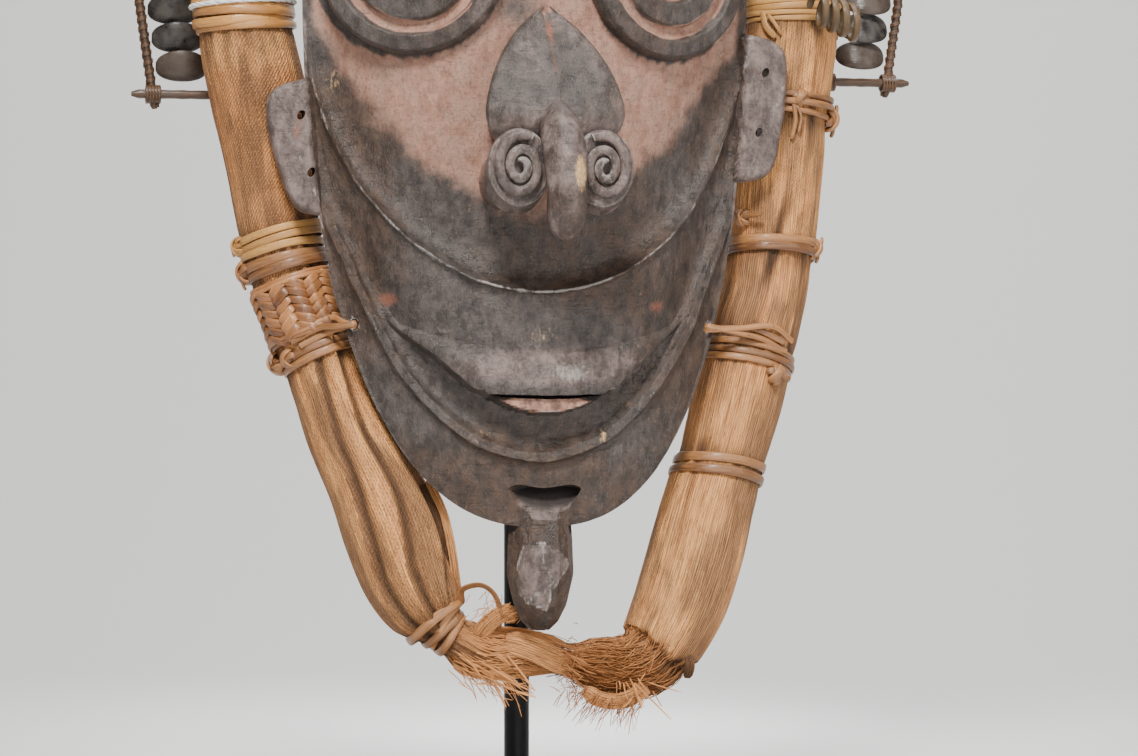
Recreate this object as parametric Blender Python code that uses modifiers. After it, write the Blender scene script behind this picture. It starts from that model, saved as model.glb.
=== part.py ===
"""Carved spirit mask with two fibre rolls and a shell ruff, on a display rod.

Blender 4.5, +Z up, origin at the centre of the foot plate's underside. The mask looks along -Y.
The driving dimensions are in millimetres, and become metres when a mesh is made. Depth is measured
back from the face plane, the upright plane that touches the rim of the cheeks on the centreline.
"""

import bisect
import math

import bmesh
import bpy
from mathutils import Matrix, Vector

MM = 0.001
FACE_PLANE_Y = -44.0
GAP = 0.4

# Mask outline and depths
CHIN_Z = 155.0
WIDEST_Z = 430.0
CROWN_Z = 550.0
HALF_WIDTH = 112.0
ROW_END_X = 64.0
EDGE_DEPTH_LOW = 8.0
EDGE_DEPTH_GAIN = 40.0
EDGE_DEPTH_HEIGHT = 90.0
CROSS_POWER = 2.3
CENTRE_PROFILE = (
    (155, 8), (187, 3), (222, 1), (268, -1), (345, 3), (404, 0), (470, -5), (515, 5), (550, 40),
)
RIM_THICKNESS = 14.0
RIM_WIDTH = 12.0
WALL = 19.0
BACK_DEPTH = 85.0
GRID_COLUMNS = 20
SIDE_TAPER = 0.84

# Crescent rims: an ellipse that runs on straight, and the relief about its edge
CHIN_RIM = {"low": 187.0, "rise": 185.0, "half": 105.0, "straight": 84.0,
            "scoop": 10.0, "reach": 16.0, "step": 4.0, "fade": 26.0}
CHEEK_RIM = {"low": 268.0, "rise": 145.0, "half": 112.0, "straight": 106.0,
             "scoop": 12.0, "reach": 46.0, "step": 3.5, "fade": 22.0}

# Muzzle and mouth
MOUTH_LINE = ((0, 218.3), (20, 218.6), (33, 220), (42, 227), (52, 236), (74, 255), (92, 285), (107, 335))
MOUTH_HALF_WIDTH = 31.0
MUZZLE_TOP_Z = 240.0
MUZZLE_TOP_RISE = 16.0
MUZZLE_HALF_WIDTH = 74.0
MUZZLE_HEIGHT = 9.0
LIP_SETBACK = 2.5
BROW_Z = 470.0
BROW_RISE = -8.0

# Eyes, turned about an axis that leans outwards
EYE_X = 63.0
EYE_Z = 429.0
EYE_LEAN = 23.0
# Eye profile: radius and height over the face, from the rim to the middle
EYE_PROFILE = (
    (47, -2), (45.5, 3), (38, 4.5), (36, 0.5), (31.5, 0.5), (30.5, 4.5), (20, 5.5), (18, 1), (9, 5), (0, 5.5),
)
EYE_BACK = ((0.0, -12.0), (44.0, -12.0))
EYE_SIDES = 14
PUPIL_RADIUS = 7.0

# Nose bulb: height, half width, depth of the crest, depth of the rim
NOSE_STATIONS = (
    (405.0, 2.0, -0.5, 0.5),
    (399.0, 9.5, -4.0, -2.0),
    (392.0, 16.5, -9.0, -6.0),
    (382.0, 23.5, -16.0, -12.0),
    (371.0, 29.0, -23.0, -18.0),
    (360.0, 32.5, -28.0, -22.0),
    (351.0, 33.5, -31.0, -23.0),
    (343.0, 30.5, -30.0, -20.0),
    (337.0, 24.0, -24.0, -14.0),
)
NOSE_ROOT_DEPTH = 12.0
# Beak: depth, height, half width, half thickness
BEAK_STATIONS = (
    (-12.0, 353.0, 9.0, 9.0),
    (-33.0, 344.0, 10.0, 10.0),
    (-45.0, 331.0, 10.2, 10.5),
    (-49.0, 316.0, 9.6, 9.5),
    (-48.0, 303.0, 9.2, 8.0),
    (-45.5, 295.0, 6.8, 6.0),
    (-44.5, 292.0, 3.0, 3.0),
)
VOLUTE_X = 20.0
VOLUTE_Z = 325.5
VOLUTE_DEPTH = -38.0
VOLUTE_HALF_WIDTH = 15.0
VOLUTE_HALF_HEIGHT = 18.5
COIL_TURNS = 2.15
COIL_CORD_RADIUS = 2.6
COIL_START_DEGREES = 62.0

# Ear tabs: lowest and highest z, reach from the centreline, and the holes
EARS = (
    {"side": -1, "low": 306.0, "high": 374.0, "reach": 130.0, "holes": ((113.0, 354.7), (108.0, 327.0))},
    {"side": 1, "low": 325.0, "high": 400.0, "reach": 133.0, "holes": ((120.8, 380.0), (117.2, 350.0))},
)
EAR_DEPTH = 40.0
EAR_THICKNESS = 9.5
EAR_ROOT_X = 92.0
EAR_SLOPE = 0.12
EAR_HOLE_RADIUS = 2.2
EDGE_HOLES = ((-88.0, 253.0), (89.0, 252.0))

# Slot and lug below the chin
SLOT_X = 2.0
SLOT_Z = 171.5
SLOT_HALF_WIDTH = 17.0
SLOT_HEIGHT = 6.4
# Lug: height, half width, front depth, back depth
LUG_STATIONS = (
    (168.0, 14.0, 10.0, 20.0),
    (158.0, 16.5, 6.0, 24.0),
    (124.0, 17.0, 4.0, 25.0),
    (113.0, 13.0, 6.0, 22.0),
    (105.0, 5.0, 10.0, 17.0),
)

# Fibre rolls: x, depth, z, radius, from the torn lower tip to the crown
ROLL_LEFT = (
    (18, 38, 88, 6), (6, 37, 91, 9), (-8, 36, 92, 11), (-25, 35, 93, 12), (-42.5, 36, 103.5, 10.5),
    (-51, 38, 114, 19), (-59, 42, 130, 23), (-67, 45, 153, 24.6), (-77, 49, 177, 22), (-88.5, 53, 201, 19.5),
    (-97.5, 61, 227, 18), (-108.2, 68, 258, 19.3), (-115.2, 72, 280, 19.6), (-120.2, 75, 302, 20.5),
    (-124.2, 78, 334, 22.2), (-129.7, 79, 366, 23.8), (-136.2, 79, 398, 23.4), (-137.5, 79, 430, 23),
    (-130, 79, 470, 22), (-104, 79, 515, 21), (-62, 79, 551, 19), (-22, 79, 566, 15), (-3, 79, 569, 11),
)
ROLL_RIGHT = (
    (20, 36, 88, 6), (30, 36, 86, 11), (46, 37, 84, 14), (60, 39, 88, 17), (68, 41, 97, 19.5),
    (77.5, 43, 116, 21.5), (86.5, 46, 141, 22), (94, 49, 166, 20.8), (102.5, 53, 191, 19.8),
    (111, 57, 217, 20.5), (120, 62, 246, 19.5), (129, 68, 270, 18), (132, 72, 294, 20),
    (134.4, 75, 322, 21.6), (139, 78, 366, 22.2), (144, 79, 412, 23.6), (143.6, 79, 440, 23),
    (133, 79, 478, 22), (106, 79, 520, 21), (62, 79, 553, 19), (22, 79, 567, 15), (3, 79, 569, 11),
)
ROLL_SIDES = 10
ROLL_STEP = 28.0

# Ties: the roll, the height of the middle, the width along the roll, the thickness and the material
TIES = (
    ("tie_left_top", "left", 401.0, 15.0, 3.2, "rattan_orange"),
    ("tie_left_yellow", "left", 296.0, 13.0, 2.6, "bast_yellow"),
    ("tie_left_upper", "left", 282.0, 11.0, 2.8, "rattan_brown"),
    ("sleeve_left", "left", 260.0, 29.0, 3.4, "rattan_braid"),
    ("tie_left_lower", "left", 236.0, 13.0, 2.0, "rattan_brown"),
    ("tie_left_neck", "left", 104.0, 12.0, 2.6, "rattan_brown"),
    ("tie_right_bast", "right", 407.0, 13.0, 3.0, "bast_yellow"),
    ("tie_right_twist", "right", 358.0, 12.0, 3.6, "rattan_brown"),
    ("tie_right_double", "right", 288.0, 10.0, 3.0, "rattan_brown"),
    ("tie_right_triple", "right", 241.0, 12.0, 3.0, "rattan_brown"),
    ("tie_right_flat", "right", 183.0, 11.0, 2.2, "rattan_brown"),
)
# Ties that run on as a flat strap to a hole in the mask's edge
STRAPS = (("tie_left_lower", "left", EDGE_HOLES[0]), ("tie_right_triple", "right", EDGE_HOLES[1]))
STRAP_START_GAP = 2.8
STRAP_END_GAP = 3.8
STRAP_HALF_HEIGHT = 4.5
STRAP_HALF_THICKNESS = 1.1

STRING_Z = 412.0
STRING_RADIUS = 1.35
STRING_GAP = 1.4
CROWN_TIE = {"half_length": 15.0, "radius": 17.0, "thickness": 3.4, "depth": 79.0, "z": 567.5}
COIL_RING = {"x": 156.0, "depth": 37.0, "z": 406.0, "radius": 10.0, "cord": 2.0, "turns": 4, "pitch": 5.4,
             "tilt": -0.4, "sides": 7}

# Shell ruff behind the rolls
RUFF_X = 12.0
RUFF_DEPTH = 107.0
RUFF_Z = 427.0
RUFF_HALF_WIDTH = 183.0
RUFF_HEIGHT = 161.0
RUFF_DROP_LEFT = 65.0
RUFF_DROP_RIGHT = 52.0
RUFF_DROP_LEAN = 0.14
HOOP_OFFSET = 16.5
HOOP_RADIUS = 2.6
STICK_RADIUS = 2.5
STICK_OVERHANG = 11.0
SHELL_COUNT = 36
SHELLS_PER_STICK = 4
SHELL_LENGTH = 26.0
SHELL_WIDTH = 11.0
SHELL_THICKNESS = 3.6
SHELL_BOW = 5.0

# Display stand
ROD_RADIUS = 6.35
ROD_DEPTH = 74.0
ROD_TOP_Z = 478.0
ROD_BEND_RADIUS = 20.0
ROD_TIP_DEPTH = 20.0
BASE_WIDTH = 190.0
BASE_LENGTH = 176.0
BASE_THICKNESS = 10.0
BASE_BEVEL = 1.5

MATERIALS = {
    "carved_wood": ((0.10, 0.082, 0.070), 0.75, 0.0),
    "spathe": ((0.48, 0.30, 0.15), 0.85, 0.0),
    "rattan_orange": ((0.45, 0.18, 0.05), 0.45, 0.0),
    "rattan_brown": ((0.26, 0.12, 0.05), 0.55, 0.0),
    "rattan_braid": ((0.24, 0.10, 0.045), 0.55, 0.0),
    "bast_yellow": ((0.55, 0.36, 0.14), 0.75, 0.0),
    "cotton": ((0.80, 0.80, 0.78), 0.9, 0.0),
    "cane": ((0.27, 0.16, 0.08), 0.6, 0.0),
    "shell": ((0.42, 0.40, 0.38), 0.4, 0.0),
    "black_steel": ((0.018, 0.020, 0.023), 0.4, 0.8),
}


def smooth(stations, x):
    """Value at x of a smooth curve through (x, value) stations that never overshoots them."""
    xs = [float(s[0]) for s in stations]
    ys = [float(s[1]) for s in stations]
    if x <= xs[0]:
        return ys[0]
    if x >= xs[-1]:
        return ys[-1]
    slopes = [(ys[i + 1] - ys[i]) / (xs[i + 1] - xs[i]) for i in range(len(xs) - 1)]
    tangents = [slopes[0]]
    for before, after in zip(slopes, slopes[1:]):
        same_way = before * after > 0
        tangents.append(2 * before * after / (before + after) if same_way else 0.0)
    tangents.append(slopes[-1])
    i = bisect.bisect_right(xs, x) - 1
    h = xs[i + 1] - xs[i]
    t = (x - xs[i]) / h
    return (
        (1 + 2 * t) * (1 - t) ** 2 * ys[i]
        + t * (1 - t) ** 2 * h * tangents[i]
        + t * t * (3 - 2 * t) * ys[i + 1]
        - t * t * (1 - t) * h * tangents[i + 1]
    )


def through(points, t):
    """Point at t, from 0 to 1, on a Catmull-Rom curve through points of any dimension."""
    spans = len(points) - 1
    place = min(max(t, 0.0), 1.0) * spans
    i = min(int(place), spans - 1)
    f = place - i
    p1, p2 = points[i], points[i + 1]
    p0 = points[i - 1] if i else [2 * a - b for a, b in zip(p1, p2)]
    p3 = points[i + 2] if i + 2 <= spans else [2 * b - a for a, b in zip(p1, p2)]
    return [
        0.5 * (2 * b + (c - a) * f + (2 * a - 5 * b + 4 * c - d) * f * f + (3 * b - a - 3 * c + d) * f ** 3)
        for a, b, c, d in zip(p0, p1, p2, p3)
    ]


def place(x, depth, z):
    """Position in metres of a point given in millimetres by x, depth behind the face plane and z."""
    return Vector((x, depth + FACE_PLANE_Y, z)) * MM


def outline_half_width(z):
    """Half width of the mask at height z."""
    if z <= WIDEST_Z:
        t = max(0.0, (z - CHIN_Z) / (WIDEST_Z - CHIN_Z))
        return HALF_WIDTH * (1 - (1 - t) ** 2.25) ** (1 / 2.45)
    t = min(1.0, (z - WIDEST_Z) / (CROWN_Z - WIDEST_Z))
    return HALF_WIDTH * (1 - t ** 2.3) ** (1 / 2.2)


def chin_outline(x):
    """Height of the mask's lower edge at x."""
    return CHIN_Z + (WIDEST_Z - CHIN_Z) * (1 - (1 - (abs(x) / HALF_WIDTH) ** 2.45) ** (1 / 2.25))


def crown_outline(x):
    """Height of the mask's upper edge at x."""
    return WIDEST_Z + (CROWN_Z - WIDEST_Z) * (1 - (abs(x) / HALF_WIDTH) ** 2.2) ** (1 / 2.3)


def crescent_slope(rim, x):
    """Steepness of a crescent rim at x."""
    side = min(abs(x), rim["straight"]) / rim["half"]
    return rim["rise"] / rim["half"] * side / math.sqrt(1 - side * side)


def crescent(rim, x):
    """Height of a crescent rim at x."""
    curved = min(abs(x), rim["straight"])
    height = rim["low"] + rim["rise"] * (1 - math.sqrt(1 - (curved / rim["half"]) ** 2))
    return height + (abs(x) - curved) * crescent_slope(rim, x)


def muzzle_top(x):
    """Height of the crease above the muzzle at x."""
    return MUZZLE_TOP_Z + MUZZLE_TOP_RISE * (x / MUZZLE_HALF_WIDTH) ** 2 + 0.22 * max(0.0, abs(x) - 66) ** 1.6


def brow_line(x):
    """Height at x of the row that runs through the forehead."""
    return BROW_Z + BROW_RISE * (x / HALF_WIDTH) ** 2


def edge_depth(z):
    """Depth of the mask's front edge at height z."""
    return EDGE_DEPTH_LOW + EDGE_DEPTH_GAIN * (1 - math.exp(-max(0.0, z - CHIN_Z) / EDGE_DEPTH_HEIGHT))


def dome_depth(x, z):
    """Depth of the plain face, before its relief."""
    centre = smooth(CENTRE_PROFILE, z)
    across = min(1.0, abs(x) / max(1.0, outline_half_width(z)))
    return centre + (edge_depth(z) - centre) * across ** CROSS_POWER


def rim_relief(rim, x, z):
    """Depth that a crescent rim adds: a scoop above its edge and a step below it."""
    away = (z - crescent(rim, x)) / math.hypot(1.0, crescent_slope(rim, x))
    fade = 1 - min(1.0, abs(x) / HALF_WIDTH) ** 12
    if away >= 0:
        return rim["scoop"] * fade * (1 - math.exp(-away / 4.5)) * math.exp(-((away / rim["reach"]) ** 2))
    return rim["step"] * fade * (1 - math.exp(away / 1.2)) * math.exp(away / rim["fade"])


def muzzle_relief(x, z):
    """Depth that the muzzle takes away, steep along the mouth and soft along the crease above."""
    if abs(x) >= MUZZLE_HALF_WIDTH:
        return 0.0
    low, high = smooth(MOUTH_LINE, abs(x)), muzzle_top(x)
    fade = (1 - (abs(x) / MUZZLE_HALF_WIDTH) ** 3) ** 0.8
    if z >= high:
        return 0.0
    if z < low:
        return LIP_SETBACK * fade * math.exp((z - low) / 14.0)
    s = (z - low) / max(1.0, high - low)
    return -MUZZLE_HEIGHT * fade * min(1.0, (z - low) / 1.4) * (1 - s * s) ** 0.9


def face_depth(x, z):
    """Depth of the carved face."""
    depth = dome_depth(x, z) + rim_relief(CHIN_RIM, x, z) + rim_relief(CHEEK_RIM, x, z) + muzzle_relief(x, z)
    return min(depth, edge_depth(z) + 1.5)


def row_end(curve):
    """x at which a row curve meets the outline."""
    low, high = 30.0, HALF_WIDTH
    for _ in range(40):
        middle = (low + high) / 2
        if outline_half_width(curve(middle)) > middle:
            low = middle
        else:
            high = middle
    return low


def face_rows():
    """Rows of (x, z) points that follow the carved lines, from the chin to the crown."""
    curves = [
        (chin_outline, ROW_END_X),
        (lambda x: crescent(CHIN_RIM, x), None),
        (lambda x: smooth(MOUTH_LINE, abs(x)), None),
        (muzzle_top, None),
        (lambda x: crescent(CHEEK_RIM, x), None),
        (brow_line, None),
        (crown_outline, ROW_END_X),
    ]
    keys = [(curve, end or row_end(curve)) for curve, end in curves]
    places = [0, 0.4, 0.75, 0.93, 1, 1.1, 1.28, 1.5, 1.75, 1.95, 2, 2.08, 2.25, 2.5, 2.75, 3]
    places += [3.35, 3.7, 3.91, 4, 4.02, 4.06, 4.13, 4.23, 4.35, 4.5, 4.65, 4.82, 5]
    places += [5.2, 5.4, 5.58, 5.74, 5.88, 6]
    rows = []
    for v in places:
        k = min(int(v), len(keys) - 2)
        f = v - k
        (low, low_end), (high, high_end) = keys[k], keys[k + 1]
        end_z = low(low_end) * (1 - f) + high(high_end) * f
        if 0 < f < 1:
            end_x = outline_half_width(end_z)
        else:
            end_x = low_end if f == 0 else high_end
        row = []
        for column in range(GRID_COLUMNS + 1):
            u = 2 * column / GRID_COLUMNS - 1
            z = low(abs(u) * low_end) * (1 - f) + high(abs(u) * high_end) * f
            row.append((u * end_x, z))
        rows.append(row)
    return rows


def collection(name):
    made = bpy.data.collections.new(name)
    bpy.context.scene.collection.children.link(made)
    return made


def material(name):
    """The named Principled material, made on first use."""
    found = bpy.data.materials.get(name)
    if found:
        return found
    colour, roughness, metallic = MATERIALS[name]
    made = bpy.data.materials.new(name)
    made.use_nodes = True
    shader = made.node_tree.nodes["Principled BSDF"]
    shader.inputs["Base Color"].default_value = (*colour, 1.0)
    shader.inputs["Roughness"].default_value = roughness
    shader.inputs["Metallic"].default_value = metallic
    made.diffuse_color = (*colour, 1.0)
    return made


def mesh_object(name, points, faces, home, slot=None):
    """Object from points in millimetres given as (x, depth, z)."""
    mesh = bpy.data.meshes.new(name)
    mesh.from_pydata([place(*p) for p in points], [], faces)
    mesh.validate()
    made = bpy.data.objects.new(name, mesh)
    home.objects.link(made)
    finish(made, slot)
    return made


def finish(thing, slot):
    """Gives a piece its material, or marks a cutter or guide that isn't a piece."""
    if slot:
        thing.data.materials.append(material(slot))
        return
    thing.hide_render = True
    thing.display_type = "WIRE"


def adopt(thing, name, home, slot=None):
    """Names an object made by an operator and moves it to its collection."""
    thing.name = name
    for old in list(thing.users_collection):
        old.objects.unlink(thing)
    home.objects.link(thing)
    finish(thing, slot)
    return thing


def combine(target, other, operation):
    step = target.modifiers.new(other.name, "BOOLEAN")
    step.operation = operation
    step.object = other


def loft(sections, closed_ends=True):
    """Points and faces through sections of equal length, capped at both ends."""
    count = len(sections[0])
    points = [p for section in sections for p in section]
    faces = []
    for i in range(len(sections) - 1):
        for j in range(count):
            k = (j + 1) % count
            faces.append((i * count + j, i * count + k, (i + 1) * count + k, (i + 1) * count + j))
    if closed_ends:
        faces.append(tuple(reversed(range(count))))
        faces.append(tuple((len(sections) - 1) * count + j for j in range(count)))
    return points, faces


def closed_loft(sections):
    """Points and faces through sections that come round to the first again, as in a collar."""
    points, faces = loft(sections + [sections[0]], closed_ends=False)
    last = len(sections) * len(sections[0])
    return points[:last], [tuple(i % last for i in face) for face in faces]


def outward(thing):
    """Turns the faces of a closed mesh outwards."""
    mesh = thing.data
    volume = 0.0
    mesh.calc_loop_triangles()
    for triangle in mesh.loop_triangles:
        a, b, c = (mesh.vertices[i].co for i in triangle.vertices)
        volume += a.dot(b.cross(c))
    if volume < 0:
        mesh.flip_normals()
    return thing


def ring(centre, across, up, half_width, half_height, sides, turn=0.0):
    """Points of an oval about centre, in the plane of two unit vectors."""
    points = []
    for i in range(sides):
        a = 2 * math.pi * (i + turn) / sides
        points.append(tuple(centre + across * (half_width * math.cos(a)) + up * (half_height * math.sin(a))))
    return points


def face_block():
    """Solid behind the carved face, back to a flat plane."""
    rows = face_rows()
    across = GRID_COLUMNS + 1
    points = [(x, face_depth(x, z), z) for row in rows for x, z in row]
    faces = []
    for r in range(len(rows) - 1):
        for c in range(GRID_COLUMNS):
            a = r * across + c
            faces.append((a, a + 1, a + across + 1, a + across))
    last = (len(rows) - 1) * across
    border = list(range(across)) + [r * across + GRID_COLUMNS for r in range(1, len(rows))]
    border += [last + c for c in range(GRID_COLUMNS - 1, -1, -1)]
    border += [r * across for r in range(len(rows) - 2, 0, -1)]
    first_back = len(points)
    middle = (CHIN_Z + CROWN_Z) / 2
    for i in border:
        x, _, z = points[i]
        points.append((x * SIDE_TAPER, BACK_DEPTH, middle + (z - middle) * (1 + SIDE_TAPER) / 2))
    for i, here in enumerate(border):
        j = (i + 1) % len(border)
        faces.append((here, first_back + i, first_back + j, border[j]))
    faces.append(tuple(first_back + i for i in range(len(border))))
    return points, faces


def hollow_cutter(guides):
    """Everything behind the mask: the rim plane outside, and the hollow inside its rim."""
    spokes = 22
    middle = (CHIN_Z + CROWN_Z) / 2
    edge = []
    for i in range(spokes):
        a = 2 * math.pi * (i + 0.5) / spokes
        low, high = 0.0, 400.0
        for _ in range(30):
            reach = (low + high) / 2
            z = middle + reach * math.sin(a)
            inside = CHIN_Z < z < CROWN_Z and abs(reach * math.cos(a)) < outline_half_width(z)
            low, high = (reach, high) if inside else (low, reach)
        edge.append((math.cos(a), math.sin(a), low))
    sections = []
    for share in (0.25, 0.5, 0.72, 0.9, 1.0):
        section = []
        for cos_a, sin_a, reach in edge:
            r = (reach - RIM_WIDTH) * share
            x, z = r * cos_a, middle + r * sin_a
            rim = edge_depth(z) + RIM_THICKNESS
            section.append((x, min(rim, dome_depth(x, z) + WALL) if share < 1 else rim, z))
        sections.append(section)
    outer = []
    for cos_a, sin_a, reach in edge:
        x, z = (reach + 45) * cos_a, middle + (reach + 45) * sin_a
        outer.append((x, edge_depth(z) + RIM_THICKNESS, z))
    sections.append(outer)
    sections.append([(x, BACK_DEPTH + 30, z) for x, _, z in outer])
    points, faces = loft(sections)
    return outward(mesh_object("hollow", points, faces, guides))


def nose_bulb(guides):
    sections = []
    for z, half, crest, rim in NOSE_STATIONS:
        right = [
            (0.2 * half, crest - 0.6, z),
            (0.52 * half, (rim + 3 * crest) / 4 - 1.2, z),
            (0.86 * half, rim - 3.4, z),
            (half, rim, z),
            (0.93 * half, rim + 9, z),
            (0.8 * half, NOSE_ROOT_DEPTH, z),
        ]
        left = [(-x, depth, height) for x, depth, height in reversed(right)]
        sections.append(left + [(0, crest - 1.6, z)] + right)
    points, faces = loft(sections)
    return outward(mesh_object("nose_bulb", points, faces, guides))


def beak(guides):
    sides = 12
    sections = []
    for i, (depth, z, half_width, half_thick) in enumerate(BEAK_STATIONS):
        before, after = BEAK_STATIONS[max(0, i - 1)], BEAK_STATIONS[min(i + 1, len(BEAK_STATIONS) - 1)]
        along = Vector((0.0, after[0] - before[0], after[1] - before[1])).normalized()
        up = along.cross(Vector((1.0, 0.0, 0.0)))
        sections.append(ring(Vector((0, depth, z)), Vector((1, 0, 0)), up, half_width, half_thick, sides))
    points, faces = loft(sections)
    return outward(mesh_object("beak", points, faces, guides))


def volute(side, guides):
    """Oval nostril on a stalk, and the coiled cord that lies on it."""
    across, up = Vector((1, 0, 0)), Vector((0, 0, 1))
    stalk = (
        (14.0, 0.72, -4.0), (-16.0, 0.86, -4.0), (-26.0, 1.0, -3.0), (-33.0, 1.0, 0.0),
        (VOLUTE_DEPTH, 0.93, 0.0),
    )
    sections = [
        ring(Vector((side * VOLUTE_X, depth, VOLUTE_Z + drop)), across, up,
             VOLUTE_HALF_WIDTH * share, VOLUTE_HALF_HEIGHT * share, 16, 0.5)
        for depth, share, drop in stalk
    ]
    points, faces = loft(sections)
    disc = outward(mesh_object("nostril", points, faces, guides))
    steps = 17
    path = []
    for i in range(steps + 1):
        t = i / steps
        a = math.radians(COIL_START_DEGREES) + t * COIL_TURNS * 2 * math.pi
        share = 1 - 0.86 * t ** 0.85
        path.append(Vector((
            side * (VOLUTE_X - (VOLUTE_HALF_WIDTH - COIL_CORD_RADIUS) * share * math.cos(a)),
            VOLUTE_DEPTH - 0.6 - 2.0 * t,
            VOLUTE_Z + (VOLUTE_HALF_HEIGHT - COIL_CORD_RADIUS) * share * math.sin(a),
        )))
    front = Vector((0, -1, 0))
    sections = []
    for i, here in enumerate(path):
        along = (path[min(i + 1, steps)] - path[max(i - 1, 0)]).normalized()
        out = along.cross(front)
        radius = COIL_CORD_RADIUS * (1 - 0.25 * i / steps)
        sections.append(ring(here, out, front, radius, radius, 4))
    points, faces = loft(sections)
    cord = outward(mesh_object("nostril_coil", points, faces, guides))
    return disc, cord


def ear(ear_tab, guides):
    """Pierced tab: a rounded plate that leans back outwards, with a bevelled front edge."""
    side, low, high = ear_tab["side"], ear_tab["low"], ear_tab["high"]
    middle, half = (low + high) / 2, (high - low) / 2
    steps = 10

    def edge(inset, depth):
        points = []
        for i in range(steps + 1):
            a = math.pi * (i / steps - 0.5)
            out = (ear_tab["reach"] - inset - EAR_ROOT_X) * abs(math.cos(a)) ** 0.72
            z = middle + (half - inset) * math.copysign(abs(math.sin(a)) ** 0.8, math.sin(a))
            x = EAR_ROOT_X + out
            points.append((side * x, depth + EAR_SLOPE * (x - EAR_ROOT_X) - 2.0, z))
        return points

    sections = [edge(2.2, EAR_DEPTH), edge(0, EAR_DEPTH + 2.4), edge(0, EAR_DEPTH + EAR_THICKNESS)]
    points, faces = loft(sections)
    return outward(mesh_object("ear", points, faces, guides))


def lug(guides):
    sections = []
    for z, half, front, back in LUG_STATIONS:
        sections.append([
            (-half, (front + back) / 2, z), (-0.72 * half, front + 1.6, z), (-0.1 * half, front, z),
            (0.62 * half, front + 1.2, z), (half, (front + back) / 2, z), (0.6 * half, back, z),
            (-0.6 * half, back, z),
        ])
    points, faces = loft(sections)
    return outward(mesh_object("lug", points, faces, guides))


def eye_turn(side):
    """Placement of an eye: its axis leans outwards, and its centre lies on the face."""
    centre = place(side * EYE_X, dome_depth(EYE_X, EYE_Z), EYE_Z)
    lean = Matrix.Rotation(math.radians(side * EYE_LEAN), 4, "Z")
    return Matrix.Translation(centre) @ lean @ Matrix.Rotation(math.pi / 2, 4, "X")


def eye(side, guides):
    """Ringed eye: a profile turned about its axis, with its back inside the wall."""
    profile = list(reversed(EYE_BACK + EYE_PROFILE))
    edges = [(i, i + 1) for i in range(len(profile) - 1)]
    mesh = bpy.data.meshes.new("eye")
    mesh.from_pydata([(r * MM, 0, h * MM) for r, h in profile], edges, [])
    made = bpy.data.objects.new("eye", mesh)
    guides.objects.link(made)
    finish(made, None)
    made.matrix_world = eye_turn(side)
    turn = made.modifiers.new("turn", "SCREW")
    turn.steps = turn.render_steps = EYE_SIDES
    turn.use_merge_vertices = True
    turn.merge_threshold = 0.00001
    return made


def cylinder(name, centre, radius, length, home, turn, slot=None, sides=14):
    """Cylinder about centre, in millimetres, its axis turned from +Z by a rotation matrix."""
    bpy.ops.mesh.primitive_cylinder_add(vertices=sides, radius=radius * MM, depth=length * MM)
    made = adopt(bpy.context.object, name, home, slot)
    made.matrix_world = Matrix.Translation(place(*centre)) @ turn
    return made


def slit(name, rows, guides):
    """Cutter through the wall, from rows of its lower and upper edge, half width, depth, middle and bow."""
    steps = 8
    sections = []
    for low, high, half, depth, middle_x, bow in rows:
        lower, upper = [], []
        for i in range(steps + 1):
            u = 2 * i / steps - 1
            x, taper = middle_x + half * u, (high - low) * abs(u) ** 5
            lower.append((x, depth, low + bow * u * u + 0.5 * taper))
            upper.append((x, depth, high + bow * u * u - 0.45 * taper))
        sections.append(lower + upper[::-1])
    points, faces = loft(sections)
    return outward(mesh_object(name, points, faces, guides))


def build_mask(parts, guides):
    points, faces = face_block()
    mask = outward(mesh_object("mask", points, faces, parts, "carved_wood"))
    additions = [ear(tab, guides) for tab in EARS]
    additions += [nose_bulb(guides), beak(guides), lug(guides)]
    for side in (-1, 1):
        additions += volute(side, guides)
    additions += [eye(side, guides) for side in (-1, 1)]
    for other in additions:
        combine(mask, other, "UNION")
    cuts = [hollow_cutter(guides)]
    mouth_z = MOUTH_LINE[0][1]
    cuts.append(slit("mouth", (
        (mouth_z - 2.4, mouth_z + 1.0, MOUTH_HALF_WIDTH, -25, 0, 1.6),
        (mouth_z - 2.4, mouth_z + 1.0, MOUTH_HALF_WIDTH, 60, 0, 1.6),
    ), guides))
    cuts.append(slit("slot", (
        (SLOT_Z - 14, SLOT_Z + 2.6, SLOT_HALF_WIDTH + 1.5, -6, SLOT_X, 3),
        (SLOT_Z - SLOT_HEIGHT / 2, SLOT_Z + SLOT_HEIGHT / 2, SLOT_HALF_WIDTH, 15, SLOT_X, 0),
        (SLOT_Z - SLOT_HEIGHT / 2, SLOT_Z + SLOT_HEIGHT / 2, SLOT_HALF_WIDTH, 60, SLOT_X, 0),
    ), guides))
    facing = Matrix.Rotation(math.pi / 2, 4, "X")
    for side in (-1, 1):
        cuts.append(cylinder("pupil", (side * EYE_X, 12, EYE_Z), PUPIL_RADIUS, 90, guides, facing))
    holes = [(tab["side"] * x, z) for tab in EARS for x, z in tab["holes"]] + list(EDGE_HOLES)
    for x, z in holes:
        cuts.append(cylinder("hole", (x, 45, z), EAR_HOLE_RADIUS, 60, guides, facing, sides=6))
    for other in cuts:
        combine(mask, other, "DIFFERENCE")
    return mask


def roll_frame(route, t):
    """Centre, radius and cross axes of a roll at t, in millimetres."""
    x, depth, z, radius = through(route, t)
    ahead, behind = through(route, min(1.0, t + 0.004)), through(route, max(0.0, t - 0.004))
    along = Vector((ahead[0] - behind[0], ahead[1] - behind[1], ahead[2] - behind[2])).normalized()
    across = Vector((0, 1, 0)).cross(along).normalized()
    return Vector((x, depth, z)), radius, across, along.cross(across)


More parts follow.
